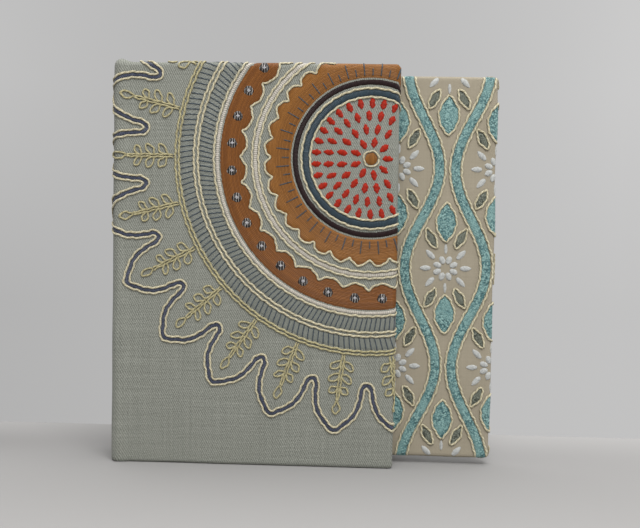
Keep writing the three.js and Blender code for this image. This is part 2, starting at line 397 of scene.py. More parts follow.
def ribbon(parts, face, p, half, crown=0.2, h0=0.04, nv=7, step=0.3, ragged=0.06, slant=0.0):
    """A band of satin stitch along p, half-width half (number or one per point of p)."""
    p = np.asarray(p, float)
    half = np.broadcast_to(np.asarray(half, float), len(p)).copy()
    s = np.concatenate([[0], np.cumsum(np.linalg.norm(np.diff(p, axis=0), axis=1))])
    n_ = max(3, int(s[-1] / step) + 1)
    t = np.linspace(0, s[-1], n_)
    half = np.interp(t, s, half)
    p = np.stack([np.interp(t, s, p[:, 0]), np.interp(t, s, p[:, 1])], 1)
    _, n = normals(p)
    _seed[0] += 1
    r = np.random.default_rng(_seed[0])
    w = np.linspace(-1, 1, nv)
    rl, rr = r.uniform(-1, 1, n_) * ragged, r.uniform(-1, 1, n_) * ragged
    jag = np.where(w[None] < 0, rl[:, None], rr[:, None]) * np.abs(w[None]) ** 2
    lat = half[:, None] * w[None] + jag * np.minimum(1, half[:, None] / 0.6)
    prof = np.sqrt(np.clip(1 - w**2, 0, 1))
    hh = h0 + crown * prof[None] * np.clip(half[:, None] / 0.8, 0.3, 1.2) + r.uniform(-1, 1, (n_, 1)) * 0.02
    hh[:, 0] = hh[:, -1] = -0.05
    x = p[:, None, 0] + n[:, None, 0] * lat
    z = p[:, None, 1] + n[:, None, 1] * lat
    v = face.at(x, z, hh).reshape(-1, 3)
    out = face.at(x, z, hh + 1.0).reshape(-1, 3) - v
    uv = np.stack([np.broadcast_to(t[:, None], lat.shape) + slant * lat, lat], -1).reshape(-1, 2)
    i, j = np.meshgrid(np.arange(n_ - 1), np.arange(nv - 1), indexing="ij")
    a = i * nv + j
    q = np.stack([a, a + 1, a + nv + 1, a + nv], -1).reshape(-1, 4)
    parts.add(v, outward(v, out, q), None, uv)


def fill(parts, face, poly, crown=0.22, h0=0.04, grid=0.75, uvf=None, angle=0.0, soft=0.5):
    """A satin-stitched area inside a closed outline."""
    poly = resample(np.vstack([poly, poly[:1]]), 0.45)[:-1]
    lo, hi = poly.min(0), poly.max(0)
    gx, gz = np.meshgrid(np.arange(lo[0], hi[0], grid), np.arange(lo[1], hi[1], grid * 0.87), indexing="ij")
    g = np.stack([gx + (np.arange(gx.shape[1])[None] % 2) * grid / 2, gz], -1).reshape(-1, 2)
    g = g[inside(poly, g)]
    if len(g):
        d = np.sqrt(((g[:, None] - poly[None]) ** 2).sum(-1)).min(1)
        g, d = g[d > 0.25], d[d > 0.25]
    else:
        d = np.zeros(0)
    pts = np.vstack([poly, g])
    n = len(poly)
    res = delaunay_2d_cdt([Vector(a) for a in pts], [], [list(range(n))], 1, 1e-6)
    co = np.array([list(a) for a in res[0]])
    orig = res[3]
    dd = np.zeros(len(co))
    on = np.zeros(len(co), bool)
    for k, o in enumerate(orig):
        o = [q for q in o]
        if o and min(o) < n:
            on[k] = True
        elif o:
            dd[k] = d[min(o) - n]
    h = h0 + crown * (1 - np.exp(-dd / soft))
    h[on] = -0.05
    v = face.at(co[:, 0], co[:, 1], h)
    tris = np.array([f for f in res[2] if len(f) == 3])
    if not len(tris):
        return
    if uvf is not None:
        uv = uvf(co)
    else:
        c, s = math.cos(angle), math.sin(angle)
        uv = np.stack([co[:, 0] * c + co[:, 1] * s, -co[:, 0] * s + co[:, 1] * c], 1)
    # all faces turned outwards
    a, b, c_ = v[tris[:, 0]], v[tris[:, 1]], v[tris[:, 2]]
    out = face.at(co[:, 0], co[:, 1], h + 1.0) - v
    flip = (np.cross(b - a, c_ - a) * out[tris[:, 0]]).sum(1) < 0
    tris[flip] = tris[flip][:, ::-1]
    parts.add(v, None, tris, uv)


# ------------------------------------------------------------------ materials
DIM = 0.77


def srgb(h, k=None):
    c = [int(h[i : i + 2], 16) / 255 for i in (1, 3, 5)]
    k = DIM if k is None else k
    return [k * (x / 12.92 if x <= 0.04045 else ((x + 0.055) / 1.055) ** 2.4) for x in c] + [1.0]


class N:
    """A short way to write shader nodes."""

    def __init__(self, name):
        self.m = bpy.data.materials.new(name)
        self.m.use_nodes = True
        self.t = self.m.node_tree
        self.bsdf = self.t.nodes["Principled BSDF"]

    def new(self, kind, **kw):
        n = self.t.nodes.new(kind)
        for k, v in kw.items():
            setattr(n, k, v)
        return n

    def link(self, a, b):
        self.t.links.new(a, b)

    def put(self, socket, value):
        if isinstance(value, bpy.types.NodeSocket):
            self.link(value, socket)
        else:
            socket.default_value = value

    def math(self, op, a, b=0.0, c=0.0):
        n = self.new("ShaderNodeMath", operation=op)
        self.put(n.inputs[0], a)
        self.put(n.inputs[1], b)
        self.put(n.inputs[2], c)
        return n.outputs[0]

    def uv(self):
        n = self.new("ShaderNodeUVMap", uv_map="UVMap")
        s = self.new("ShaderNodeSeparateXYZ")
        self.link(n.outputs[0], s.inputs[0])
        return n.outputs[0], s.outputs[0], s.outputs[1]

    def vec(self, x, y, z=0.0):
        n = self.new("ShaderNodeCombineXYZ")
        for i, v in enumerate((x, y, z)):
            self.put(n.inputs[i], v)
        return n.outputs[0]

    def noise(self, vec, scale, detail=2.0, rough=0.5):
        n = self.new("ShaderNodeTexNoise")
        n.inputs["Scale"].default_value = scale
        n.inputs["Detail"].default_value = detail
        n.inputs["Roughness"].default_value = rough
        self.link(vec, n.inputs["Vector"])
        return n.outputs["Fac"]

    def mix(self, f, a, b, blend="MIX"):
        n = self.new("ShaderNodeMix", data_type="RGBA", blend_type=blend)
        self.put(n.inputs[0], f)
        self.put(n.inputs[6], a)
        self.put(n.inputs[7], b)
        return n.outputs[2]

    def ramp(self, f, lo, hi, a=0.0, b=1.0):
        n = self.new("ShaderNodeMapRange")
        n.inputs["From Min"].default_value = lo
        n.inputs["From Max"].default_value = hi
        n.inputs["To Min"].default_value = a
        n.inputs["To Max"].default_value = b
        self.link(f, n.inputs["Value"])
        return n.outputs[0]

    def bump(self, height, dist, strength=1.0, normal=None):
        n = self.new("ShaderNodeBump")
        n.inputs["Strength"].default_value = strength
        n.inputs["Distance"].default_value = dist
        self.link(height, n.inputs["Height"])
        if normal is not None:
            self.link(normal, n.inputs["Normal"])
        return n.outputs[0]

    def wave(self, x, period, phase=0.0):
        """0..1 cosine of x with the given period."""
        a = self.math("MULTIPLY", x, 2 * math.pi / period)
        if not (isinstance(phase, float) and phase == 0.0):
            a = self.math("ADD", a, phase)
        return self.math("MULTIPLY_ADD", self.math("SINE", a), 0.5, 0.5)

    def done(self, color=None, rough=0.8, normal=None, sheen=0.0, spec=0.3, metal=0.0, sheen_rough=0.5):
        b = self.bsdf
        if color is not None:
            self.put(b.inputs["Base Color"], color)
        self.put(b.inputs["Roughness"], rough)
        b.inputs["Specular IOR Level"].default_value = spec
        b.inputs["Sheen Weight"].default_value = sheen
        b.inputs["Sheen Roughness"].default_value = sheen_rough
        b.inputs["Metallic"].default_value = metal
        if normal is not None:
            self.link(normal, b.inputs["Normal"])
        return self.m


def twill(name, light="#bcbeb4", dark="#575a51", pitch=0.50, slope=62.0):
    """Furnishing twill: steep diagonal ribs of fine warp, with slubby weft showing across."""
    n = N(name)
    uvv, u, v = n.uv()
    c, s = math.cos(math.radians(slope)), math.sin(math.radians(slope))
    # distance across the ribs, with a slow wander
    wander = n.math("MULTIPLY", n.noise(n.vec(n.math("MULTIPLY", u, 0.25), n.math("MULTIPLY", v, 0.25)), 1.0, 2.0), 0.5)
    across = n.math("ADD", n.math("ADD", n.math("MULTIPLY", u, s), n.math("MULTIPLY", v, c)), wander)
    rib = n.wave(across, pitch)
    # weft picks along z, warp ends along u
    pick = n.wave(v, 0.36)
    end = n.wave(u, 0.30)
    soft = n.noise(n.vec(n.math("MULTIPLY", u, 0.9), n.math("MULTIPLY", v, 0.9)), 1.0, 3.0, 0.7)
    rib = n.math("MULTIPLY_ADD", n.math("SUBTRACT", rib, 0.5), n.ramp(soft, 0.3, 0.7, 0.8, 1.3), 0.5)
    weave = n.math("ADD", n.math("MULTIPLY", rib, 0.6), n.math("MULTIPLY", n.math("MULTIPLY", pick, end), 0.4))
    slub = n.noise(n.vec(n.math("MULTIPLY", u, 0.045), n.math("MULTIPLY", v, 1.9)), 1.0, 3.0, 0.6)
    warp = n.noise(n.vec(n.math("MULTIPLY", u, 2.4), n.math("MULTIPLY", v, 0.05)), 1.0, 2.0, 0.6)
    blot = n.noise(n.vec(n.math("MULTIPLY", u, 0.05), n.math("MULTIPLY", v, 0.05)), 1.0, 2.0)
    grain = n.noise(n.vec(n.math("MULTIPLY", u, 2.6), n.math("MULTIPLY", v, 3.4)), 1.0, 3.0, 0.8)
    f = n.math("ADD", n.math("MULTIPLY", weave, 0.46), n.math("MULTIPLY", n.ramp(slub, 0.3, 0.75), 0.16))
    f = n.math("ADD", f, n.math("MULTIPLY", n.ramp(warp, 0.3, 0.7), 0.12))
    f = n.math("ADD", f, n.math("MULTIPLY", n.ramp(grain, 0.38, 0.62), 0.34))
    col = n.mix(f, srgb(dark), srgb(light))
    col = n.mix(n.ramp(blot, 0.3, 0.7, 0.0, 0.14), col, srgb("#8b8c82"))
    hot = n.ramp(slub, 0.68, 0.8, 0.0, 0.5)
    col = n.mix(hot, col, srgb("#b9bab0"))
    height = n.math("ADD", weave, n.math("MULTIPLY", slub, 0.5))
    nm = n.bump(height, 0.00012, 0.9)
    return n.done(col, 0.92, nm, sheen=0.12, spec=0.18)


def silk(name, dark, light, pitch=0.34, rough=0.5, sheen=0.15, spec=0.4, vary=1.0, depth=0.00010):
    """Satin stitch: threads laid side by side across the band (u is along the band, v along the stitch)."""
    n = N(name)
    uvv, u, v = n.uv()
    wob = n.math("MULTIPLY", n.noise(n.vec(n.math("MULTIPLY", u, 0.8), n.math("MULTIPLY", v, 0.7)), 1.0, 2.0), 0.5)
    x = n.math("ADD", u, wob)
    line = n.wave(x, pitch)
    cell = n.math("FLOOR", n.math("MULTIPLY_ADD", x, 1 / pitch, 0.25))
    wn = n.new("ShaderNodeTexWhiteNoise", noise_dimensions="1D")
    n.link(cell, wn.inputs["W"])
    streak = n.noise(n.vec(n.math("MULTIPLY", x, 9.0), n.math("MULTIPLY", v, 0.8)), 1.0, 2.0, 0.6)
    f = n.math("ADD", n.math("MULTIPLY", line, 0.42), n.math("MULTIPLY", wn.outputs["Value"], 0.30 * vary))
    f = n.math("ADD", f, n.math("MULTIPLY", streak, 0.36 * vary))
    col = n.mix(f, srgb(dark), srgb(light))
    nm = n.bump(n.math("ADD", line, n.math("MULTIPLY", streak, 0.4)), depth, 0.8)
    return n.done(col, rough, nm, sheen=sheen, spec=spec)


def striped(name, dark, light, pitch):
    """Dark satin with pale threads laid over it."""
    n = N(name)
    uvv, u, v = n.uv()
    wob = n.math("MULTIPLY", n.noise(n.vec(n.math("MULTIPLY", u, 1.2), n.math("MULTIPLY", v, 0.9)), 1.0, 2.0), 0.55)
    x = n.math("ADD", u, wob)
    line = n.wave(x, pitch)
    gap = n.noise(n.vec(n.math("MULTIPLY", x, 2.2), n.math("MULTIPLY", v, 0.7)), 1.0, 2.0, 0.7)
    f = n.math("MULTIPLY", n.ramp(line, 0.70, 0.92, 0.0, 0.85), n.ramp(gap, 0.36, 0.52))
    col = n.mix(f, srgb(dark), srgb(light))
    nm = n.bump(line, 0.00008, 0.8)
    return n.done(col, 0.5, nm, sheen=0.1, spec=0.35)


def cord_mat(name, dark="#7d7250", mid="#dcd2af", light="#f8f0d6"):
    """Twisted cord: fine filaments that wind round it."""
    n = N(name)
    uvv, u, v = n.uv()
    tw = n.math("ADD", n.math("MULTIPLY", u, 1 / 1.2), v)
    ply = n.wave(tw, 1.0, 0.6)
    fine = n.wave(tw, 0.25)
    fuzz = n.noise(n.vec(n.math("MULTIPLY", u, 3.0), n.math("MULTIPLY", v, 3.0)), 1.0, 2.0, 0.7)
    slow = n.noise(n.vec(n.math("MULTIPLY", u, 0.2), 0.0), 1.0, 1.0)
    f = n.math("ADD", n.math("MULTIPLY", ply, 0.34), n.math("MULTIPLY", fine, 0.22))
    f = n.math("ADD", f, n.math("MULTIPLY", fuzz, 0.50))
    col = n.mix(n.ramp(f, 0.15, 0.5), srgb(dark), srgb(mid))
    col = n.mix(n.ramp(f, 0.5, 1.0), col, srgb(light))
    col = n.mix(n.ramp(slow, 0.35, 0.65, 0.0, 0.22), col, srgb(dark))
    # painted shade: the cord is darkened on its flanks and underside, standing in for the shadow along each side of the
    # cord
    side = n.math("SINE", n.math("MULTIPLY", v, math.pi))
    col = n.mix(n.ramp(side, 0.05, 0.62, 0.62, 0.0), col, srgb("#4a4128"))
    nm = n.bump(n.math("ADD", ply, n.math("MULTIPLY", fine, 0.5)), 0.00008, 0.8)
    return n.done(col, 0.62, nm, sheen=0.2, spec=0.35)


M = {
    "twill": twill("twill_cloth"),
    "cord": cord_mat("couched_cord"),
    "straw": cord_mat("straw_cord", "#5f5636", "#c2b88a", "#e0d8ae"),
    "navy": silk("silk_navy", "#13212b", "#2e4957"),
    "plum": silk("silk_plum_navy", "#252b3c", "#4f566e"),
    "red": silk("silk_red", "#7d1006", "#c92f12", sheen=0.02, spec=0.16),
    "ochre": silk("silk_ochre", "#643a14", "#a06a2e", sheen=0.05, spec=0.25, vary=1.3),
    "rust": silk("silk_rust", "#5f3410", "#945c25", sheen=0.05, spec=0.25, vary=1.2),
    "brown": silk("silk_brown", "#150808", "#2f1a1b", sheen=0.03, spec=0.2),
    "white": silk("silk_white", "#a49c8f", "#ded8cc", pitch=0.5),
    "stripe": striped("silk_stripe", "#140c0f", "#bdb7b0", 0.62),
    "star": silk("silk_star", "#9b9aa0", "#d3d1d2"),
    "ink": silk("thread_ink", "#23303a", "#4b5863", pitch=0.3),
    "tan": silk("thread_tan", "#7d6242", "#a98a62", pitch=0.3),
    "mist": silk("silk_mist", "#6c716b", "#989b91", pitch=0.32),
}

# ------------------------------------------------------------------ the ornament of the slipcase
# A plain rosette: true circles, and motifs repeated at equal angles.
U = 0.2545          # one couching stitch
OC = (66.0, 80.0)   # centre of the rosette
PETALS = 26
STEP = 360.0 / PETALS


def P(r, a):
    """Design point at r stitches from the centre, a degrees clockwise from the right."""
    a = np.radians(np.asarray(a, float))
    r = np.asarray(r, float) * U
    return np.stack([OC[0] + r * np.cos(a), OC[1] - r * np.sin(a)], -1)


def on_face(p):
    return (p[:, 1] < 104.9) & (p[:, 0] < 74.2) & (p[:, 0] > -3.0) & (p[:, 1] > 0.4)


def rosette(face, tag, body):
    """The embroidery of one face, as one piece per thread."""
    K = {k: Parts() for k in ("cord", "straw", "navy", "plum", "red", "ochre", "rust", "brown", "white", "stripe", "star", "ink", "tan", "mist")}
    cord = lambda p, width=0.60, high=0.50: tube(K["cord"], face, p, width=width, high=high, h0=0.2)
    straw = lambda p, width=0.54, high=0.46: tube(K["straw"], face, p, width=width, high=high, h0=0.2)
    cut = lambda p, least=4: runs(p, on_face(p), least)

    def ring(r, wave=0.0, n=0):
        t = np.linspace(0, 360, max(60, int(2 * math.pi * np.max(r) * U / 0.3)))
        return P(r + (wave * np.abs(np.sin(np.radians(t) * n / 2)) ** 0.8 if n else 0.0), t)

    def band(kind, r, half, crown=0.2, **k):
        for p in cut(ring(r)):
            ribbon(K[kind], face, p, half, crown=crown, **k)

    def patch(kind, outer, inner, crown, scale):
        o, i_ = outer[on_face(outer)], inner[on_face(inner)]
        # where the outer edge leaves by the head and the inner one by the mouth, the corner belongs to the patch
        corner = [(74.1, 104.8)] if o[-1, 1] > 103.5 and i_[-1, 0] > 73.0 else np.zeros((0, 2))
        poly = np.vstack([o, corner, i_[::-1]])
        fill(K[kind], face, poly, uvf=lambda co: np.stack([np.hypot(co[:, 0] - OC[0], co[:, 1] - OC[1]), np.degrees(np.arctan2(OC[1] - co[:, 1], OC[0] - co[:, 0])) * scale], 1), crown=crown)

    # seeds in rings about a round middle
    t = np.linspace(0, 2 * np.pi, 29)[:-1]
    fill(K["ochre"], face, np.stack([OC[0] + 1.7 * np.cos(t), OC[1] + 1.7 * np.sin(t)], 1), crown=0.3, grid=0.5)
    cord(np.stack([OC[0] + 2.0 * np.cos(np.append(t, t[0])), OC[1] + 2.0 * np.sin(np.append(t, t[0]))], 1), 0.5, 0.42)
    for row, (r, n) in enumerate(((4.2, 9), (7.6, 16), (11.0, 23), (14.2, 30))):
        for i in range(n):
            q = math.radians(360.0 * (i + 0.5 * (row % 2)) / n)
            d = np.array([math.cos(q), -math.sin(q)])
            u = np.linspace(-1, 1, 13)
            w = 0.80 * np.clip(1 - np.abs(u) ** 1.7, 0.0, 1) ** 0.7 + 0.03
            p = np.array(OC) + d * (r + u[:, None] * 1.42)
            if on_face(p).all() and p[:, 0].max() < 73.4:
                ribbon(K["red"], face, p, w, crown=0.3, step=0.24, ragged=0.2)
    # a navy ring and a brown ring, corded
    band("navy", 66.0, 0.86, ragged=0.1)
    for d in (4.5, -4.5):
        for p in cut(ring(66.0 + d)):
            cord(p)
    band("brown", 76.5, 0.72, crown=0.24)
    # a scalloped ring, one dart between each pair of scallops
    edge = ring(101.0, 7.0, 32)
    patch("ochre", edge, ring(80.5), 0.26, 0.4)
    for p in cut(edge):
        cord(p)
    for i in range(64):
        q = 360.0 * i / 64
        p = P([83.0, 96.0 if i % 2 else 90.0], [q, q])
        if on_face(p).all():
            tube(K["ink"], face, p, 0.34, 0.22, 0.3, seg=5, wob=0.0, step=0.1, taper=False)
    # a satin rib between two cords
    band("white", 117.0, 0.52, crown=0.14)
    for d in (3.3, -3.3):
        for p in cut(ring(117.0 + d)):
            cord(p)
    # scallops that point inwards, each with a round spot
    edge = ring(133.0, -7.0, 32)
    patch("rust", ring(153.0), edge, 0.2, 0.62)
    for p in cut(edge):
        cord(p)
    for i in range(32):
        c0 = P(141.0, 360.0 * (i + 0.5) / 32)
        spot = np.stack([c0[0] + 1.55 * np.cos(t), c0[1] + 1.55 * np.sin(t)], 1)
        if not on_face(spot).all():
            continue
        fill(K["stripe"], face, spot, uvf=lambda co: co * 1.0, crown=0.2, h0=0.24, grid=0.5)
        for q in (np.array([0.5, 0.0]), np.array([0.0, 0.5])):
            tube(K["star"], face, np.array([c0 - q, c0, c0 + q]), 0.42, 0.24, 0.5, seg=6, wob=0, step=0.16)
    # white satin ring and its cord
    band("white", 155.5, 0.44)
    for p in cut(ring(158.8)):
        cord(p)
    # two hatched bands of grey satin, with a doubled cord between
    for r0, r1, lean in ((161.0, 174.0, 1.0), (180.5, 193.0, -0.8)):
        for p in cut(ring((r0 + r1) / 2)):
            ribbon(K["mist"], face, p, (r1 - r0) / 2 * U, crown=0.08, h0=0.02, nv=9)
        for q in np.arange(0, 360, 1.65):
            p = P([r0 - 0.4, (r0 + r1) / 2, r1 + 0.4], [q - lean / 2, q, q + lean / 2])
            for p in cut(resample(p, 0.25), 5):
                tube(K["ink"], face, p, 0.30, 0.2, 0.13, seg=6, wob=0.02, step=0.25)
    for r in (175.2, 179.3):
        for p in cut(ring(r)):
            cord(p)
    for r in (194.6, 198.0):
        for p in cut(ring(r)):
            straw(p, 0.60, 0.50)
    # pointed petals, all alike, with a round notch between each pair
    pts = []
    for j in range(PETALS):
        v_ = STEP * (j + 0.5)
        for r, d in ((270, -4.7), (261, -2.9), (250, -1.85), (240, -1.4), (233, -1.1), (229, 0), (233, 1.1), (240, 1.4), (250, 1.85), (261, 2.9), (270, 4.7), (278, STEP / 2)):
            pts.append(P(r, v_ + d))
    path = catmull(pts, 0.22)
    n_ = normals(path)[1]
    for p in cut(path, 6):
        ribbon(K["plum"], face, p, 0.46, crown=0.18, step=0.25, ragged=0.09)
    for sg in (1, -1):
        for p in cut(resample(path + n_ * sg * 0.73, 0.27)):
            cord(p, 0.58, 0.48)
    # a straight sprig in each petal: a stem, pairs of leaves and one at the tip
    for j in range(PETALS):
        k = math.radians(STEP * (j + 1))
        ax, sd = np.array([math.cos(k), -math.sin(k)]), np.array([-math.sin(k), -math.cos(k)])
        L = lambda off, r: np.array(OC) + U * (ax * r + sd * off)
        for d in (-1.25, 1.25):
            for p in cut(resample(np.array([L(d, 200.0), L(d, 225.0), L(d * 0.8, 248.0)]), 0.3)):
                straw(p)
        loops = [[(248.0, 0.0, 0.0, 1.0)]] + [[(r, sg, 0.62, z)] for r, z in ((207.0, 1.0), (220.0, 1.0), (233.0, 0.85)) for sg in (-1, 1)]
        for ((r, sg, tilt, z),) in loops:
            ca, sa = (math.cos(tilt), math.sin(tilt)) if sg else (0.0, 1.0)
            lp = []
            for u_, w_ in ((0, 0.3), (4.8, 3.0), (8.6, 3.4), (12.0, 1.6), (13.0, 0), (12.0, -1.6), (8.6, -3.4), (4.8, -3.0), (0, -0.3)):
                u_, w_ = u_ * z, w_ * z
                s_ = sg or 1
                lp.append(L(s_ * (0.9 * abs(sg) + ca * u_ - sa * w_), r + sa * u_ + ca * w_))
            for p in cut(catmull(lp, closed=True), 6):
                straw(p)
    out = []
    for k, part in K.items():
        o = part.make(f"{tag}_{k}", M[k])
        if o:
            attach(o, body)
            out.append(o)
    return out


front_emb = rosette(front, "front_embroidery", "slipcase")
def sheet_grid(name, wrap, sa, sb, ns, za, zb, nz, mat, thick=0.4, h=0.0):
    s = np.linspace(sa, sb, ns)
    z = np.linspace(za, zb, nz)
    sg, zg = np.meshgrid(s, z, indexing="ij")
    v = wrap.at(sg + wrap.x_start, zg, h).reshape(-1, 3)
    out = wrap.at(sg + wrap.x_start, zg, h + 1.0).reshape(-1, 3) - v
    i, j = np.meshgrid(np.arange(ns - 1), np.arange(nz - 1), indexing="ij")
    a = i * nz + j
    q = outward(v, out, np.stack([a, a + 1, a + nz + 1, a + nz], -1).reshape(-1, 4))
    uv = np.stack([-sg, zg], -1).reshape(-1, 2)
    o = build(name, v, q, None, uv, True, mat)
    if thick:
        m_ = o.modifiers.new("thickness", "SOLIDIFY")
        m_.thickness = thick * MM
        m_.offset = -1
    return o


back_emb = rosette(back, "back_embroidery", "slipcase")

# ------------------------------------------------------------------ more materials
def knotted(name, dark, light, deep, pitch):
    """Needle-made filling: patches of satin threads among small dense knots."""
    n = N(name)
    uvv, u, v = n.uv()
    wob = n.math("MULTIPLY", n.noise(n.vec(n.math("MULTIPLY", u, 0.8), n.math("MULTIPLY", v, 0.7)), 1.0, 2.0), 0.5)
    x = n.math("ADD", u, wob)
    line = n.wave(x, pitch)
    streak = n.noise(n.vec(n.math("MULTIPLY", x, 7.0), n.math("MULTIPLY", v, 0.8)), 1.0, 2.0, 0.6)
    vo = n.new("ShaderNodeTexVoronoi", voronoi_dimensions="2D")
    vo.inputs["Scale"].default_value = 1.0
    n.link(n.vec(n.math("MULTIPLY", u, 2.5), n.math("MULTIPLY", v, 2.5)), vo.inputs["Vector"])
    cell = n.new("ShaderNodeSeparateColor")
    n.link(vo.outputs["Color"], cell.inputs[0])
    knot = n.math("MULTIPLY_ADD", cell.outputs[0], 0.75, n.math("MULTIPLY", n.math("SUBTRACT", 0.5, vo.outputs["Distance"]), 0.6))
    patch = n.ramp(n.noise(n.vec(n.math("MULTIPLY", u, 0.16), n.math("MULTIPLY", v, 0.16)), 1.0, 2.0), 0.38, 0.52)
    f1 = n.math("ADD", n.math("MULTIPLY", line, 0.45), n.math("MULTIPLY", n.ramp(streak, 0.25, 0.75), 0.6))
    f2 = n.ramp(knot, 0.1, 0.85)
    f = n.math("ADD", n.math("MULTIPLY", f1, n.math("SUBTRACT", 1.0, patch)), n.math("MULTIPLY", f2, patch))
    f = n.math("ADD", n.math("MULTIPLY", f, 0.75), n.math("MULTIPLY", n.ramp(knot, 0.1, 0.8), 0.25))
    col = n.mix(f, srgb(dark), srgb(light))
    hole = n.math("MULTIPLY", n.ramp(cell.outputs[1], 0.80, 0.84, 0.0, 0.8), n.math("MULTIPLY_ADD", patch, 0.85, 0.15))
    col = n.mix(hole, col, srgb(deep))
    nm = n.bump(n.math("ADD", f, n.math("MULTIPLY", knot, 0.8)), 0.00012, 0.9)
    return n.done(col, 0.55, nm, sheen=0.1, spec=0.35)


M["teal"] = knotted("silk_teal", "#477478", "#a0c6c0", "#3a5f62", 0.42)
M["olive"] = knotted("silk_olive", "#4d5349", "#8d9283", "#3a4038", 0.42)
M["sand"] = silk("silk_sand", "#8f8673", "#bfb5a1", pitch=0.36)
M["pearl"] = silk("silk_pearl", "#a4a6a4", "#e2e4e0", pitch=0.3, sheen=0.1)


def plain_weave(name, light, dark, pitch=0.42, rough=0.88, slub=0.25, depth=0.00006, sheen=0.1):
    n = N(name)
    uvv, u, v = n.uv()
    a, b = n.wave(u, pitch), n.wave(v, pitch * 0.93)
    chk = n.math("ABSOLUTE", n.math("SUBTRACT", a, b))
    h1 = n.noise(n.vec(n.math("MULTIPLY", u, 0.05), n.math("MULTIPLY", v, 2.0)), 1.0, 3.0, 0.6)
    h2 = n.noise(n.vec(n.math("MULTIPLY", u, 2.0), n.math("MULTIPLY", v, 0.05)), 1.0, 3.0, 0.6)
    g = n.noise(n.vec(n.math("MULTIPLY", u, 0.08), n.math("MULTIPLY", v, 0.08)), 1.0, 3.0)
    f = n.math("ADD", n.math("MULTIPLY", chk, 0.35), n.math("MULTIPLY", h1, slub))
    f = n.math("ADD", f, n.math("MULTIPLY", h2, slub))
    f = n.math("ADD", f, n.math("MULTIPLY", g, 0.25))
    col = n.mix(f, srgb(dark), srgb(light))
    nm = n.bump(n.math("ADD", chk, n.math("MULTIPLY", n.math("ADD", h1, h2), 0.4)), depth, 0.7)
    return n.done(col, rough, nm, sheen=sheen, spec=0.2)


M["ground"] = plain_weave("insert_ground_cloth", "#bfb5a1", "#8f8673", 0.4)
M["lining"] = plain_weave("lining_cotton_weave", "#d3ccbd", "#a49b8a", 0.5)
M["backing"] = plain_weave("backing_cotton_weave", "#8fa9a8", "#5f7a7b", 0.5)


def from_object(name, scale, light, dark, detail=4.0, rough=0.9, depth=0.0001, stretch=(1, 1, 1), sheen=0.0, spec=0.2, fibre=0.5):
    n = N(name)
    tc = n.new("ShaderNodeTexCoord")
    mp = n.new("ShaderNodeMapping")
    mp.inputs["Scale"].default_value = stretch
    n.link(tc.outputs["Object"], mp.inputs["Vector"])
    a = n.noise(mp.outputs[0], scale, detail, 0.6)
    b = n.noise(mp.outputs[0], scale * 7, 2.0, 0.7)
    f = n.math("ADD", n.math("MULTIPLY", a, 1 - fibre), n.math("MULTIPLY", b, fibre))
    col = n.mix(n.ramp(f, 0.3, 0.7), srgb(dark), srgb(light))
    nm = n.bump(f, depth, 0.7)
    return n.done(col, rough, nm, sheen=sheen, spec=spec)


M["greyboard"] = from_object("greyboard_fibre", 260, "#9b9588", "#6f695d", stretch=(1, 2.5, 1))
M["felt"] = from_object("felt_fibre", 420, "#d9cfbd", "#a89d88", depth=0.00022, sheen=0.35, fibre=0.65)
M["wadding"] = from_object("wadding_fibre", 150, "#eceae4", "#cfccc4", depth=0.0005, sheen=0.5)
M["thread"] = silk("teal_sewing_thread", "#3c7276", "#86bdbb", pitch=0.3)


def steel():
    n = N("needle_steel_polished")
    uvv, u, v = n.uv()
    s = n.noise(n.vec(n.math("MULTIPLY", u, 0.6), n.math("MULTIPLY", v, 14.0)), 1.0, 3.0, 0.6)
    col = n.mix(s, srgb("#a9abae"), srgb("#dfe1e3"))
    nm = n.bump(s, 0.00001, 0.5)
    b = n.bsdf
    n.link(n.ramp(s, 0.2, 0.8, 0.16, 0.34), b.inputs["Roughness"])
    n.link(col, b.inputs["Base Color"])
    n.link(nm, b.inputs["Normal"])
    b.inputs["Metallic"].default_value = 1.0
    return n.m


M["steel"] = steel()

# ------------------------------------------------------------------ the slipcase's cover
cover = sheet_grid("slipcase_cover", case, 0, case.length, 480, -0.7, H + 0.7, 240, M["twill"], 0.38)
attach(cover, "slipcase")
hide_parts("outer_cloth")


def strip(name, prof, y0, y1, mat, ny=40, thick=0.3, dip=0.25, flip=False):
    """A cloth strip: prof is its profile in x and z, and it spans y0 to y1."""
    p = resample(np.array(prof, float), 0.5)
    y = np.linspace(y0, y1, ny)
    e = np.minimum(y - y0, y1 - y)
    k = -dip * np.exp(-e / 0.5)
    _, n_ = normals(p)
    if flip:
        n_ = -n_
    x = p[:, None, 0] + n_[:, None, 0] * k[None] + 0 * y[None]
    z = p[:, None, 1] + n_[:, None, 1] * (k[None] + 0.03 * noise2(p[:, None, 0], y[None], 41, 9.0))
    v = np.stack([x, np.broadcast_to(y[None], x.shape), z], -1).reshape(-1, 3)
    out = np.stack([np.broadcast_to(n_[:, None, 0], x.shape), np.zeros_like(x), np.broadcast_to(n_[:, None, 1], x.shape)], -1).reshape(-1, 3)
    s = np.arange(len(p)) * 0.5
    uv = np.stack(np.broadcast_arrays(s[:, None], y[None]), -1).reshape(-1, 2)
    i, j = np.meshgrid(np.arange(len(p) - 1), np.arange(ny - 1), indexing="ij")
    a = i * ny + j
    q = outward(v, out, np.stack([a, a + 1, a + ny + 1, a + ny], -1).reshape(-1, 4))
    o = build(name, v, q, None, uv, True, mat)
    m_ = o.modifiers.new("thickness", "SOLIDIFY")
    m_.thickness = thick * MM
    m_.offset = -1
    return o, s[-1]


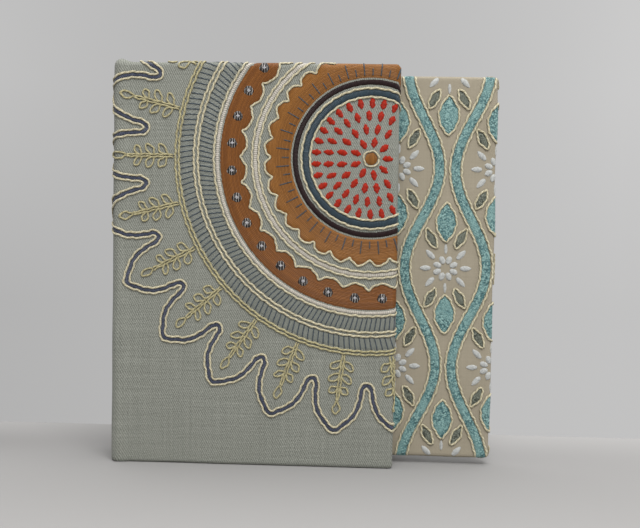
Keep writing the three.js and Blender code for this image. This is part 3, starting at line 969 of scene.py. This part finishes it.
for name, zo, zi, sg, rest in (("head_cloth", H - 0.12, H - 1.2, 1, "head_card"), ("tail_cloth", 0.1, 1.2, -1, "tail_card")):
    mid = (zo + zi) / 2
    rr = abs(zo - zi) / 2
    th = np.radians(np.linspace(90, -90, 9))
    prof = [(X0 + 2.6, zo)] + [(XM - 0.55 + rr * math.cos(t), mid + sg * rr * math.sin(t)) for t in th] + [(XM - 7.0, zi)]
    o, ln = strip(name + "_strip", prof, -7.7, 7.7, M["twill"], flip=(sg < 0))
    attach(o, "slipcase")
    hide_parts(name)


# ------------------------------------------------------------------ linings
def panel(name, origin, eu, ev, nu, nv, lu, lv, bow, mat, normal, thick=0.2, seed=5):
    """A thin lining glued flat: it puckers slightly and its edges lie down."""
    u, v = np.linspace(0, lu, nu), np.linspace(0, lv, nv)
    gu, gv = np.meshgrid(u, v, indexing="ij")
    e = np.minimum(np.minimum(gu, lu - gu), np.minimum(gv, lv - gv))
    h = bow(gu, gv) + 0.04 * noise2(gu, gv, seed, 15.0) * np.clip(e / 3, 0, 1)
    o_, a_, b_, n_ = (np.array(t, float) for t in (origin, eu, ev, normal))
    p = o_ + gu[..., None] * a_ + gv[..., None] * b_ + h[..., None] * n_
    i, j = np.meshgrid(np.arange(nu - 1), np.arange(nv - 1), indexing="ij")
    a = i * nv + j
    pv = p.reshape(-1, 3)
    q = outward(pv, np.broadcast_to(n_, pv.shape), np.stack([a, a + 1, a + nv + 1, a + nv], -1).reshape(-1, 4))
    ob = build(name, pv, q, None, np.stack([gu, gv], -1).reshape(-1, 2), True, mat)
    m_ = ob.modifiers.new("thickness", "SOLIDIFY")
    m_.thickness = thick * MM
    m_.offset = -1
    return ob


XL = XM - 2.5
flat0 = lambda u, v: 0 * u
step = lambda u, v: 0.52 * np.clip((u - (XM - TURN - 2.0 - X0 - 2.2)) / 2.0, 0, 1)
zl, zh = 1.62, H - 1.62
for name, org, eu, ev, lu, lv, nrm, bow, rest in (
    ("front_lining", (X0 + 2.2, YF + 2.2, zl), (1, 0, 0), (0, 0, 1), XL - X0 - 2.2, zh - zl, (0, 1, 0), step, "front_board"),
    ("back_lining", (X0 + 2.2, YB - 2.2, zl), (1, 0, 0), (0, 0, 1), XL - X0 - 2.2, zh - zl, (0, -1, 0), step, "back_board"),
    ("spine_lining", (X0 + 2.08, YF + 1.95, zl), (0, 1, 0), (0, 0, 1), YB - YF - 3.9, zh - zl, (1, 0, 0), flat0, "spine_board"),
    ("head_lining", (X0 + 2.0, YF + 1.95, H - 1.52), (1, 0, 0), (0, 1, 0), XL - X0 - 2.0, YB - YF - 3.9, (0, 0, -1), flat0, "head_card"),
    ("tail_lining", (X0 + 2.0, YF + 1.95, 1.52), (1, 0, 0), (0, 1, 0), XL - X0 - 2.0, YB - YF - 3.9, (0, 0, 1), flat0, "tail_card"),
):
    o = panel(name + "_cotton", org, eu, ev, max(24, int(lu / 0.9)), max(24, int(lv / 0.9)), lu, lv, bow, M["lining"], nrm, seed=len(name))
    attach(o, "slipcase")
    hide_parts(name)

# ------------------------------------------------------------------ the insert: cloth over a padded board
FLG = 7.0
RA, RB = 1.1, 0.7
yb = IY1 - 0.1
ins_path = (
    [(XI + FLG, yb)]
    + arc(XI + RB, yb - RB, RB, 90, 180, 6)
    + arc(XI + RA, IY0 + RA, RA, 180, 270, 8)
    + arc(X1 - RA, IY0 + RA, RA, 270, 360, 8)
    + arc(X1 - RB, yb - RB, RB, 0, 90, 6)
    + [(X1 - FLG, yb)]
)
_s_ins = (FLG - RB) + math.pi * RB / 2 + (yb - IY0 - RA - RB) + math.pi * RA / 2 - RA
ins = Wrap(ins_path, 0.0, -1, IZ0, IZ1, 0.7, 11, inner=(FLG - RB, FLG - RB), puff=0.06)


class InsertFace:
    """x is measured from the slipcase's spine, as on the slipcase; heights shrink round the edges."""

    def at(self, x, z, h):
        x, z, h = np.broadcast_arrays(np.asarray(x, float), np.asarray(z, float), np.asarray(h, float))
        e = np.minimum(z - IZ0, IZ1 - z)
        k = np.clip(0.30 + (e - 0.3) / 1.3, 0.30, 1.0)
        return ins.at(x - (XI - X0) + _s_ins, z, h * k)


iface = InsertFace()
# The insert's pattern: a plain lattice of waving bands, with one flower repeated in its openings.
# In mm from the slipcase's spine and from the base.
PITCH, DROP, SWING, MID = 12.8, 52.0, 4.3, (86.0, 52.0)
IX0, IX1, JZ0, JZ1 = XI - X0 + 0.3, X1 - X0 + 1.3, IZ0 - 0.5, IZ1 + 0.5
K = {k: Parts() for k in ("teal", "olive", "sand", "pearl", "cord")}


def clip_rect(p, x0, x1, z0, z1):
    """Sutherland-Hodgman."""
    for axis, lim, keep in ((0, x0, 1), (0, x1, -1), (1, z0, 1), (1, z1, -1)):
        out = []
        for i in range(len(p)):
            a, b = p[i - 1], p[i]
            ia, ib = (a[axis] - lim) * keep >= 0, (b[axis] - lim) * keep >= 0
            if ia != ib:
                t = (lim - a[axis]) / (b[axis] - a[axis])
                out.append(a + (b - a) * t)
            if ib:
                out.append(b)
        p = np.array(out)
        if len(p) < 3:
            return None
    return p


def on_insert(p):
    return (p[:, 0] >= IX0) & (p[:, 0] <= IX1) & (p[:, 1] > IZ0 - 0.2) & (p[:, 1] < IZ1 + 0.2)


def leaf(c, angle, length, half):
    """An almond outline."""
    u = np.linspace(0, 1, 22)
    w = half * np.sin(np.pi * u) ** 0.8
    d = np.array([math.cos(angle), math.sin(angle)])
    e = np.array([-d[1], d[0]])
    up = np.array(c) + d * (u * length)[:, None] + e * w[:, None]
    dn = np.array(c) + d * (u * length)[:, None] - e * w[:, None]
    return np.vstack([up, dn[::-1][1:-1]])


def patch(kind, poly, angle, h0=0.03, crown=0.2, line=True):
    c = clip_rect(poly, IX0, IX1, JZ0, JZ1)
    if c is None or np.ptp(c[:, 0]) < 0.8 or np.ptp(c[:, 1]) < 0.8:
        return
    c = c[np.linalg.norm(np.diff(np.vstack([c, c[:1]]), axis=0), axis=1) > 0.02]
    fill(K[kind], iface, c, crown=crown, h0=h0, angle=angle, soft=0.35)
    if line:
        ring_ = np.vstack([poly, poly[:1]])
        for p in runs(ring_, on_insert(ring_), 4):
            tube(K["cord"], iface, p, width=0.60, high=0.5, h0=0.24)


def satin(pts, hw):
    q = resample(np.array(pts, float), 0.3)
    if on_insert(q).all():
        w = hw * np.sin(np.pi * np.clip(np.linspace(0.1, 0.98, len(q)), 0, 1)) ** 0.7 + 0.05
        ribbon(K["pearl"], iface, q, w, crown=0.3, slant=0.7, step=0.25)


zz = np.linspace(IZ0 - 0.15, IZ1 + 0.15, 380)
for k in range(-6, 3):
    sgn = -1 if k % 2 else 1
    path = np.stack([MID[0] + PITCH * (k + 0.5) + sgn * SWING * np.cos(2 * np.pi * (zz - MID[1]) / DROP), zz], 1)
    for p in runs(path, on_insert(path), 6):
        ribbon(K["teal"], iface, p, 1.25, crown=0.2, ragged=0.08)
    n_ = normals(path)[1]
    for d in (1.55, -1.55):
        q = path + n_ * d
        for p in runs(q, on_insert(q), 6):
            tube(K["cord"], iface, p, width=0.60, high=0.5, h0=0.24)
for col in range(-6, 3):
    cx = MID[0] + PITCH * col
    wide = 1 if col % 2 == 0 else 0
    for row in (-2, -1, 0, 1, 2):
        if row % 2 == wide:
            continue
        c0 = np.array([cx, MID[1] + DROP / 2 * row])
        # a teal leaf above and below, one olive leaf to each side of them
        for sg in (1, -1):
            patch("teal", leaf(c0 + (0, sg * 6.8), sg * math.pi / 2, 10.5, 2.7), 0.5 * sg)
            for sd_ in (1, -1):
                patch("olive", leaf(c0 + (sd_ * 2.4, sg * 5.2), math.pi / 2 * sg - sd_ * sg * 0.5, 6.0, 1.2), 0.3)
            satin([c0 + (0, sg * 3.9), c0 + (0, sg * 5.2), c0 + (0, sg * 6.4)], 0.42)
        for sg in (1, -1):
            for lean in (-0.7, 0.0, 0.7):
                d = np.array([sg * math.cos(lean), math.sin(lean)])
                satin([c0 + d * 3.9, c0 + d * 5.2 + (0, 0.25 * lean), c0 + d * 6.7 + (0, 0.6 * lean)], 0.72)
        for i in range(8):
            q = math.radians(22.5 + 45 * i)
            d = np.array([math.cos(q), math.sin(q)])
            t = np.linspace(-1, 1, 11)
            p = c0 + d * (2.3 + t[:, None] * 1.1)
            if on_insert(p).all():
                ribbon(K["pearl"], iface, p, 0.78 * np.sqrt(np.clip(1 - np.abs(t) ** 2.2, 0, 1)) + 0.03, crown=0.32, slant=0.5, step=0.22)

for k, part in K.items():
    o = part.make(f"insert_embroidery_{k}", M[k])
    if o:
        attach(o, "insert")

# the insert's cloth, with its turn-ins
g_s = np.linspace(0, ins.length, 380)
g_z = np.linspace(IZ0 - 2.6, IZ1 + 2.6, 230)
sg, zg = np.meshgrid(g_s, g_z, indexing="ij")
v = ins.at(sg, zg, 0.0).reshape(-1, 3)
out_ = ins.at(sg, zg, 1.0).reshape(-1, 3) - v
i, j = np.meshgrid(np.arange(379), np.arange(229), indexing="ij")
a = i * 230 + j
q = outward(v, out_, np.stack([a, a + 1, a + 231, a + 230], -1).reshape(-1, 4))
cl = Parts()
cl.add(v, q, None, np.stack([sg, zg], -1).reshape(-1, 2))
for za, zb in ((IZ0 + 0.35, IZ0 + FLG), (IZ1 - FLG, IZ1 - 0.35)):
    gx, gz = np.meshgrid(np.linspace(XI + 1.2, X1 - 1.2, 120), np.linspace(za, zb, 12), indexing="ij")
    e = np.minimum(np.abs(gz - IZ0 - 0.35), np.abs(IZ1 - 0.35 - gz))
    y = yb - 0.12 - 0.5 * np.exp(-e / 0.25) + 0.02 * noise2(gx, gz, 17, 12.0)
    vv = np.stack([gx, y, gz], -1).reshape(-1, 3)
    i, j = np.meshgrid(np.arange(119), np.arange(11), indexing="ij")
    a = i * 12 + j
    qq = outward(vv, np.broadcast_to(np.array([0.0, 1.0, 0.0]), vv.shape), np.stack([a, a + 1, a + 13, a + 12], -1).reshape(-1, 4))
    cl.add(vv, qq, None, np.stack([gx, gz], -1).reshape(-1, 2))
icloth = cl.make("insert_cloth_cover", M["ground"])
m_ = icloth.modifiers.new("thickness", "SOLIDIFY")
m_.thickness = 0.35 * MM
m_.offset = -1
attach(icloth, "insert")
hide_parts("insert_cloth")


# wadding: a thin pad with soft edges
def pad(name, lo, hi, r, nx, nz, mat, seed):
    gx, gz = np.meshgrid(np.linspace(lo[0], hi[0], nx), np.linspace(lo[2], hi[2], nz), indexing="ij")
    e = np.minimum(np.minimum(gx - lo[0], hi[0] - gx), np.minimum(gz - lo[2], hi[2] - gz))
    k = np.sqrt(np.clip(1 - (1 - np.clip(e / r, 0, 1)) ** 2, 0, 1))
    my, ty = (lo[1] + hi[1]) / 2, (hi[1] - lo[1]) / 2
    w_ = 0.92 + 0.08 * noise2(gx, gz, seed, 10.0) / 2.0
    f = np.stack([gx, my - ty * k * w_, gz], -1).reshape(-1, 3)
    b = np.stack([gx, my + ty * k * w_, gz], -1).reshape(-1, 3)
    i, j = np.meshgrid(np.arange(nx - 1), np.arange(nz - 1), indexing="ij")
    a = (i * nz + j).reshape(-1)
    q1 = np.stack([a, a + nz, a + nz + 1, a + 1], -1)
    q2 = q1[:, ::-1]
    # the two faces share their rim
    n_ = nx * nz
    idx = np.arange(n_)
    rim = (e.reshape(-1) < 1e-6)
    back_idx = np.where(rim, idx, n_ + idx)
    uv = np.stack([gx, gz], -1).reshape(-1, 2)
    o = build(name, np.vstack([f, b]), np.vstack([q1, back_idx[q2]]), None, np.vstack([uv, uv]), True, mat)
    o.data.update()
    return o


lo, hi = box_mm("insert_wadding")
wad = pad("wadding_pad", lo, hi, 1.2, 60, 80, M["wadding"], 23)
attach(wad, "insert")
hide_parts("insert_wadding")

# ------------------------------------------------------------------ inside face of the insert
lo, hi = box_mm("insert_backing")
bk = panel(
    "backing_cotton", (lo[0], hi[1] - 0.1, lo[2]), (1, 0, 0), (0, 0, 1), 80, 110, hi[0] - lo[0], hi[2] - lo[2],
    lambda u, v: -0.25 * np.exp(-np.minimum(np.minimum(u, hi[0] - lo[0] - u), np.minimum(v, hi[2] - lo[2] - v)) / 0.35),
    M["backing"], (0, 1, 0), thick=0.3, seed=9,
)
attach(bk, "insert")
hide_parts("insert_backing")


class FlatFace:
    """A plane that faces +Y."""

    def __init__(self, y):
        self.y = y

    def at(self, x, z, h):
        x, z, h = np.broadcast_arrays(np.asarray(x, float), np.asarray(z, float), np.asarray(h, float))
        return np.stack([x, self.y + h, z], -1)


# felt leaf with pinked edges
flo, fhi = box_mm("needle_felt")


def pinked(x0, x1, z0, z1, pitch=2.5, deep=1.15):
    out = []
    for (ax, az), (bx, bz) in zip([(x0, z0), (x1, z0), (x1, z1), (x0, z1)], [(x1, z0), (x1, z1), (x0, z1), (x0, z0)]):
        ln = math.hypot(bx - ax, bz - az)
        n_ = int(round(ln / pitch))
        tx, tz = (bx - ax) / ln, (bz - az) / ln
        nx, nz = -tz, tx
        for k in range(n_):
            t0, t1 = ln * k / n_, ln * (k + 0.5) / n_
            d0 = deep if k == 0 else deep
            out.append((ax + tx * t0 + nx * d0 * (0.0 if k == 0 else 1.0), az + tz * t0 + nz * d0 * (0.0 if k == 0 else 1.0)))
            out.append((ax + tx * t1, az + tz * t1) if k else (ax + tx * t1, az + tz * t1))
    return np.array(out)


def felt_leaf(name, outline, y0, y1, mat, seed):
    o_ = resample(np.vstack([outline, outline[:1]]), 0.36)[:-1]
    lo_, hi_ = o_.min(0), o_.max(0)
    gx, gz = np.meshgrid(np.arange(lo_[0] + 1.4, hi_[0] - 1.3, 0.8), np.arange(lo_[1] + 1.4, hi_[1] - 1.3, 0.8), indexing="ij")
    g = np.stack([gx, gz], -1).reshape(-1, 2)
    n_ = len(o_)
    inner = o_ + (np.array([(lo_[0] + hi_[0]) / 2, (lo_[1] + hi_[1]) / 2]) - o_) * np.array([0.008, 0.005])
    pts = np.vstack([o_, inner, g])
    res = delaunay_2d_cdt([Vector(p) for p in pts], [], [list(range(n_))], 1, 1e-6)
    co = np.array([list(p) for p in res[0]])
    rim = np.array([bool(k) and min(k) < n_ for k in res[3]])
    tri = np.array([f for f in res[2] if len(f) == 3])
    fuzz = 0.05 * noise2(co[:, 0], co[:, 1], seed, 6.0) + 0.02 * noise2(co[:, 0], co[:, 1], seed + 1, 1.4)
    top = np.where(rim, y1 - 0.3, y1 - 0.02 + np.clip(fuzz, -0.1, 0.1))
    f = np.stack([co[:, 0], top, co[:, 1]], 1)
    b = np.stack([co[:, 0], np.where(rim, y0 + 0.2, y0), co[:, 1]], 1)
    out = np.broadcast_to(np.array([0.0, 1.0, 0.0]), f.shape)
    n0 = np.cross(f[tri[:, 1]] - f[tri[:, 0]], f[tri[:, 2]] - f[tri[:, 0]])[:, 1]
    tri[n0 < 0] = tri[n0 < 0][:, ::-1]
    # sides between the two rims
    ed = {}
    for t in tri:
        for a_, b_ in ((t[0], t[1]), (t[1], t[2]), (t[2], t[0])):
            if (b_, a_) in ed:
                del ed[(b_, a_)]
            else:
                ed[(a_, b_)] = 1
    nv = len(co)
    side = np.array([[b_, a_, a_ + nv, b_ + nv] for a_, b_ in ed])
    return build(name, np.vstack([f, b]), side, np.vstack([tri, tri[:, ::-1] + nv]), np.vstack([co, co]), True, mat)


felt = felt_leaf("felt_leaf", pinked(flo[0], fhi[0], flo[2], fhi[2]), flo[1], fhi[1], M["felt"], 31)
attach(felt, "insert")
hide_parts("needle_felt")

# running stitches
slo, shi = box_mm("felt_stitching")
st = Parts()
ff = FlatFace(fhi[1])
cx0, cx1, cz0, cz1 = slo[0] + 0.3, shi[0] - 0.3, slo[2] + 0.3, shi[2] - 0.3
for (ax, az), (bx, bz) in zip([(cx0, cz0), (cx1, cz0), (cx1, cz1), (cx0, cz1)], [(cx1, cz0), (cx1, cz1), (cx0, cz1), (cx0, cz0)]):
    ln = math.hypot(bx - ax, bz - az)
    n_ = int(ln / 4.4)
    for k in range(n_):
        t0 = (k + 0.18 + rng.uniform(-0.03, 0.03)) / n_
        t1 = t0 + 0.64 / n_ * (1 + rng.uniform(-0.06, 0.06))
        j0, j1 = rng.uniform(-0.12, 0.12, 2)
        s_ = np.linspace(t0, t1, 12)
        nx, nz = -(bz - az) / ln, (bx - ax) / ln
        jj = np.linspace(j0, j1, 12)
        p = np.stack([ax + (bx - ax) * s_ + nx * jj, az + (bz - az) * s_ + nz * jj], 1)
        h_ = 0.42 * np.sin(np.pi * np.linspace(0, 1, 12)) ** 0.5 - 0.2

        class Arch:
            def __init__(self, p_, h_):
                self.p, self.h = p_, h_

            def at(self, x, z, h):
                x, z, h = np.broadcast_arrays(np.asarray(x, float), np.asarray(z, float), np.asarray(h, float))
                d_ = self.p[-1] - self.p[0]
                t = ((x - self.p[0][0]) * d_[0] + (z - self.p[0][1]) * d_[1]) / (d_ @ d_)
                return ff.at(x, z, h + np.interp(t, np.linspace(0, 1, 12), self.h))

        tube(st, Arch(p, h_), p, 0.5, 0.42, 0.0, twist=0.9, wob=0.0, step=0.2)
stitches = st.make("running_stitches", M["thread"])
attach(stitches, "insert")
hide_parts("felt_stitching")

# needles, each held under two nips of felt
nips = Parts()
for k in range(1, 8):
    lo, hi = box_mm(f"needle_{k}")
    cx, cy = (lo[0] + hi[0]) / 2, (lo[1] + hi[1]) / 2
    z0, z1 = lo[2], hi[2]
    seg = 12
    zs = np.concatenate([np.linspace(z0, z0 + 6, 14), np.linspace(z0 + 7, z1 - 4.4, 12), np.linspace(z1 - 4.2, z1 - 3.1, 5)])
    r_ = 0.335 * np.clip(((zs - z0) / 6.0) ** 0.62, 0.02, 1)
    tail = np.clip((zs - (z1 - 4.4)) / 1.3, 0, 1)
    th = 2 * np.pi * np.arange(seg) / seg
    x = cx + np.cos(th)[None] * (r_ * (1 + 0.12 * tail))[:, None]
    y = cy + np.sin(th)[None] * (r_ * (1 - 0.35 * tail))[:, None]
    vv = np.stack([x, y, np.broadcast_to(zs[:, None], x.shape)], -1).reshape(-1, 3)
    uv = np.stack(np.broadcast_arrays(zs[:, None], th[None] / 6.28), -1).reshape(-1, 2)
    i, j = np.meshgrid(np.arange(len(zs) - 1), np.arange(seg), indexing="ij")
    a, b = i * seg + j, i * seg + (j + 1) % seg
    q = np.stack([a, b, b + seg, a + seg], -1).reshape(-1, 4)
    nd = Parts()
    mid_ = vv.reshape(len(zs), seg, 3).mean(1)
    q = outward(vv, (vv.reshape(len(zs), seg, 3) - mid_[:, None]).reshape(-1, 3), q)
    top = len(vv)
    vv = np.vstack([vv, [(cx, cy, z0 - 0.0)], [(cx, cy, zs[-1])]])
    uv = np.vstack([uv, [[0, 0], [0, 0]]])
    jj = np.arange(seg)
    l_ = (len(zs) - 1) * seg
    nd.add(vv, q, np.vstack([np.stack([np.full(seg, top), (jj + 1) % seg, jj], 1), np.stack([np.full(seg, top + 1), l_ + jj, l_ + (jj + 1) % seg], 1)]), uv)
    # the eye: a long loop
    t = np.linspace(0, 2 * np.pi, 29)[:-1]
    ex, ez = 0.24 * np.cos(t), 1.55 * np.sin(t)
    ez = np.sign(ez) * np.abs(ez) ** 0.9
    cz = z1 - 1.75
    ring_ = []
    for tt, x_, z_ in zip(t, ex, ez):
        nrm = np.array([math.cos(tt), 0.35 * math.sin(tt)])
        nrm /= np.linalg.norm(nrm)
        for w in np.linspace(0, 2 * np.pi, 7)[:-1]:
            ring_.append((cx + x_ + nrm[0] * 0.1 * math.cos(w), cy + 0.17 * math.sin(w), cz + z_ + nrm[1] * 0.12 * math.cos(w)))
    ring_ = np.array(ring_)
    i, j = np.meshgrid(np.arange(28), np.arange(6), indexing="ij")
    q = np.stack([i * 6 + j, i * 6 + (j + 1) % 6, ((i + 1) % 28) * 6 + (j + 1) % 6, ((i + 1) % 28) * 6 + j], -1).reshape(-1, 4)
    rc = ring_.reshape(28, 6, 3)
    q = outward(ring_, (rc - rc.mean(1)[:, None]).reshape(-1, 3), q)
    nd.add(ring_, q, None, ring_[:, [2, 0]])
    o = nd.make(f"needle_steel_{k}", M["steel"])
    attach(o, "insert")
    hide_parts(f"needle_{k}")
    for zc in (z0 + (z1 - z0) * 0.30, z0 + (z1 - z0) * 0.56):
        gx, gz = np.meshgrid(np.linspace(-1.9, 1.9, 25), np.linspace(-2.3, 2.3, 21), indexing="ij")
        fz = np.clip(1 - (np.abs(gz) / 2.3) ** 6, 0, 1) ** 0.5
        prof = np.where(np.abs(gx) < 0.45, 1.0, np.exp(-((np.abs(gx) - 0.45) / 0.62) ** 2))
        hh = (1.0 + 0.04 * noise1(gz * 2, k)) * prof * (0.94 + 0.06 * fz)
        edge = np.clip((1.9 - np.abs(gx)) / 0.5, 0, 1)
        hh = hh * edge - 0.06
        vv = np.stack([cx + gx, fhi[1] + hh, zc + gz], -1).reshape(-1, 3)
        i, j = np.meshgrid(np.arange(24), np.arange(20), indexing="ij")
        a = i * 21 + j
        qq = outward(vv, np.broadcast_to(np.array([0.0, 1.0, 0.0]), vv.shape), np.stack([a, a + 1, a + 22, a + 21], -1).reshape(-1, 4))
        nips.add(vv, qq, None, np.stack([gx, gz], -1).reshape(-1, 2))
nip = nips.make("felt_nips", M["felt"])
m_ = nip.modifiers.new("thickness", "SOLIDIFY")
m_.thickness = 0.22 * MM
m_.offset = -1
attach(nip, "insert")

# ------------------------------------------------------------------ boards and cards keep their shape
for name in ("front_board", "back_board", "spine_board", "head_card", "tail_card", "insert_board"):
    for o in bpy.data.objects:
        if o.type == "MESH" and o.name == name:
            for sl in o.material_slots:
                sl.material = M["greyboard"]

# ------------------------------------------------------------------ stage and light
FLOOR_BACK = 38.0


def plane(name, x0, x1, y0, y1, z, mat):
    nx, ny = 40, 60
    gx, gy = np.meshgrid(np.linspace(x0, x1, nx), np.linspace(y0, y1, ny), indexing="ij")
    v = np.stack([gx, gy, np.full_like(gx, z)], -1).reshape(-1, 3)
    i, j = np.meshgrid(np.arange(nx - 1), np.arange(ny - 1), indexing="ij")
    a = i * ny + j
    return build(name, v, np.stack([a, a + ny, a + ny + 1, a + 1], -1).reshape(-1, 4), None, v[:, :2], True, mat)


def floor_mat():
    """Pale card with painted shade: a darker band a little behind the object, deepest on the left, standing in for the
    shade where a backdrop folds up, lightening towards its back edge.
    """
    n = N("pale_floor")
    uvv, u, v = n.uv()
    g = n.noise(n.vec(n.math("MULTIPLY", u, 0.03), n.math("MULTIPLY", v, 0.03)), 1.0, 3.0)
    fine = n.noise(n.vec(n.math("MULTIPLY", u, 1.3), n.math("MULTIPLY", v, 1.3)), 1.0, 3.0, 0.6)
    t = n.ramp(v, -90.0, FLOOR_BACK)

    def shade(stops):
        r = n.new("ShaderNodeValToRGB")
        el = r.color_ramp.elements
        r.color_ramp.interpolation = "B_SPLINE"
        while len(el) < len(stops):
            el.new(0.5)
        for e, (y, c) in zip(el, stops):
            e.position = (y + 90.0) / (FLOOR_BACK + 90.0)
            e.color = (c * FLOOR_TINT[0], c * FLOOR_TINT[1], c * FLOOR_TINT[2], 1)
        n.link(t, r.inputs[0])
        return r.outputs[0]

    left = shade(FLOOR_PAINTED_SHADE_LEFT)
    right = shade(FLOOR_PAINTED_SHADE_RIGHT)
    col = n.mix(n.ramp(u, -95.0, 90.0), left, right)
    col = n.mix(n.math("MULTIPLY", g, 0.06), col, srgb("#8d8a86", 1.0))
    nm = n.bump(fine, 0.00003, 0.4)
    return n.done(col, 0.8, nm, spec=0.2)


FLOOR_TINT = (1.02, 1.0, 0.985)
# painted shade across the floor, by distance back in mm: darkest near 12 mm on the left, much less dip on the right
FLOOR_PAINTED_SHADE_LEFT = ((-90, 0.325), (-52, 0.303), (-19, 0.302), (0, 0.267), (12, 0.236), (22, 0.27), (30, 0.298), (38, 0.33))
FLOOR_PAINTED_SHADE_RIGHT = ((-90, 0.32), (-52, 0.315), (-19, 0.30), (0, 0.297), (12, 0.305), (22, 0.328), (30, 0.348), (38, 0.372))
floor = plane("floor", -900, 900, -900, FLOOR_BACK, 0.0, floor_mat())

world = bpy.data.worlds.new("world")
bpy.context.scene.world = world
world.use_nodes = True
wt = world.node_tree
bg = wt.nodes["Background"]


def wmath(op, a, b=0.0, c=0.0, clamp=False):
    n_ = wt.nodes.new("ShaderNodeMath")
    n_.operation = op
    n_.use_clamp = clamp
    for i_, x_ in enumerate((a, b, c)):
        if isinstance(x_, bpy.types.NodeSocket):
            wt.links.new(x_, n_.inputs[i_])
        else:
            n_.inputs[i_].default_value = x_
    return n_.outputs[0]


tcw = wt.nodes.new("ShaderNodeTexCoord")
sx = wt.nodes.new("ShaderNodeSeparateXYZ")
wt.links.new(tcw.outputs["Generated"], sx.inputs[0])
# painted shade: the background is darker on the left, lighter towards the right, and lighter upwards at the sides but
# not above the middle, standing in for the uneven light on the wall behind
across = wmath("MULTIPLY_ADD", sx.outputs[0], 1 / 0.56, 0.33 / 0.56, clamp=True)
above = wmath("MULTIPLY_ADD", sx.outputs[2], 1 / 0.2, 0.085 / 0.2, clamp=True)
mid_ = wmath("MULTIPLY_ADD", across, 2.0, -1.0)
hump = wmath("SUBTRACT", 1.0, wmath("MULTIPLY", mid_, mid_))
gain = wmath("SUBTRACT", wmath("MULTIPLY_ADD", across, -0.022, 0.078), wmath("MULTIPLY", hump, 0.068))
lum = wmath("ADD", wmath("MULTIPLY_ADD", across, 0.090, 0.446), wmath("MULTIPLY", above, gain))
cw = wt.nodes.new("ShaderNodeCombineXYZ")
for i_, k_ in enumerate((1.004, 1.0, 0.998)):
    wt.links.new(wmath("MULTIPLY", lum, k_), cw.inputs[i_])
wt.links.new(cw.outputs[0], bg.inputs[0])
bg.inputs[1].default_value = 1.0


def area(name, loc, size, power, target=(0, 0, 50), color=(1, 1, 1)):
    l = bpy.data.lights.new(name, "AREA")
    l.shape = "RECTANGLE"
    l.size, l.size_y = size[0] * MM, size[1] * MM
    l.energy = power
    l.color = color
    o = bpy.data.objects.new(name, l)
    bpy.context.scene.collection.objects.link(o)
    o.location = Vector(loc) * MM
    o.rotation_mode = "QUATERNION"
    o.rotation_quaternion = (Vector(target) * MM - o.location).to_track_quat("-Z", "Y")
    return o


area("key", (120, -420, 520), (420, 420), 4.2)
area("top", (0, 60, 620), (600, 400), 2.0)
bpy.context.scene.view_settings.view_transform = "Standard"
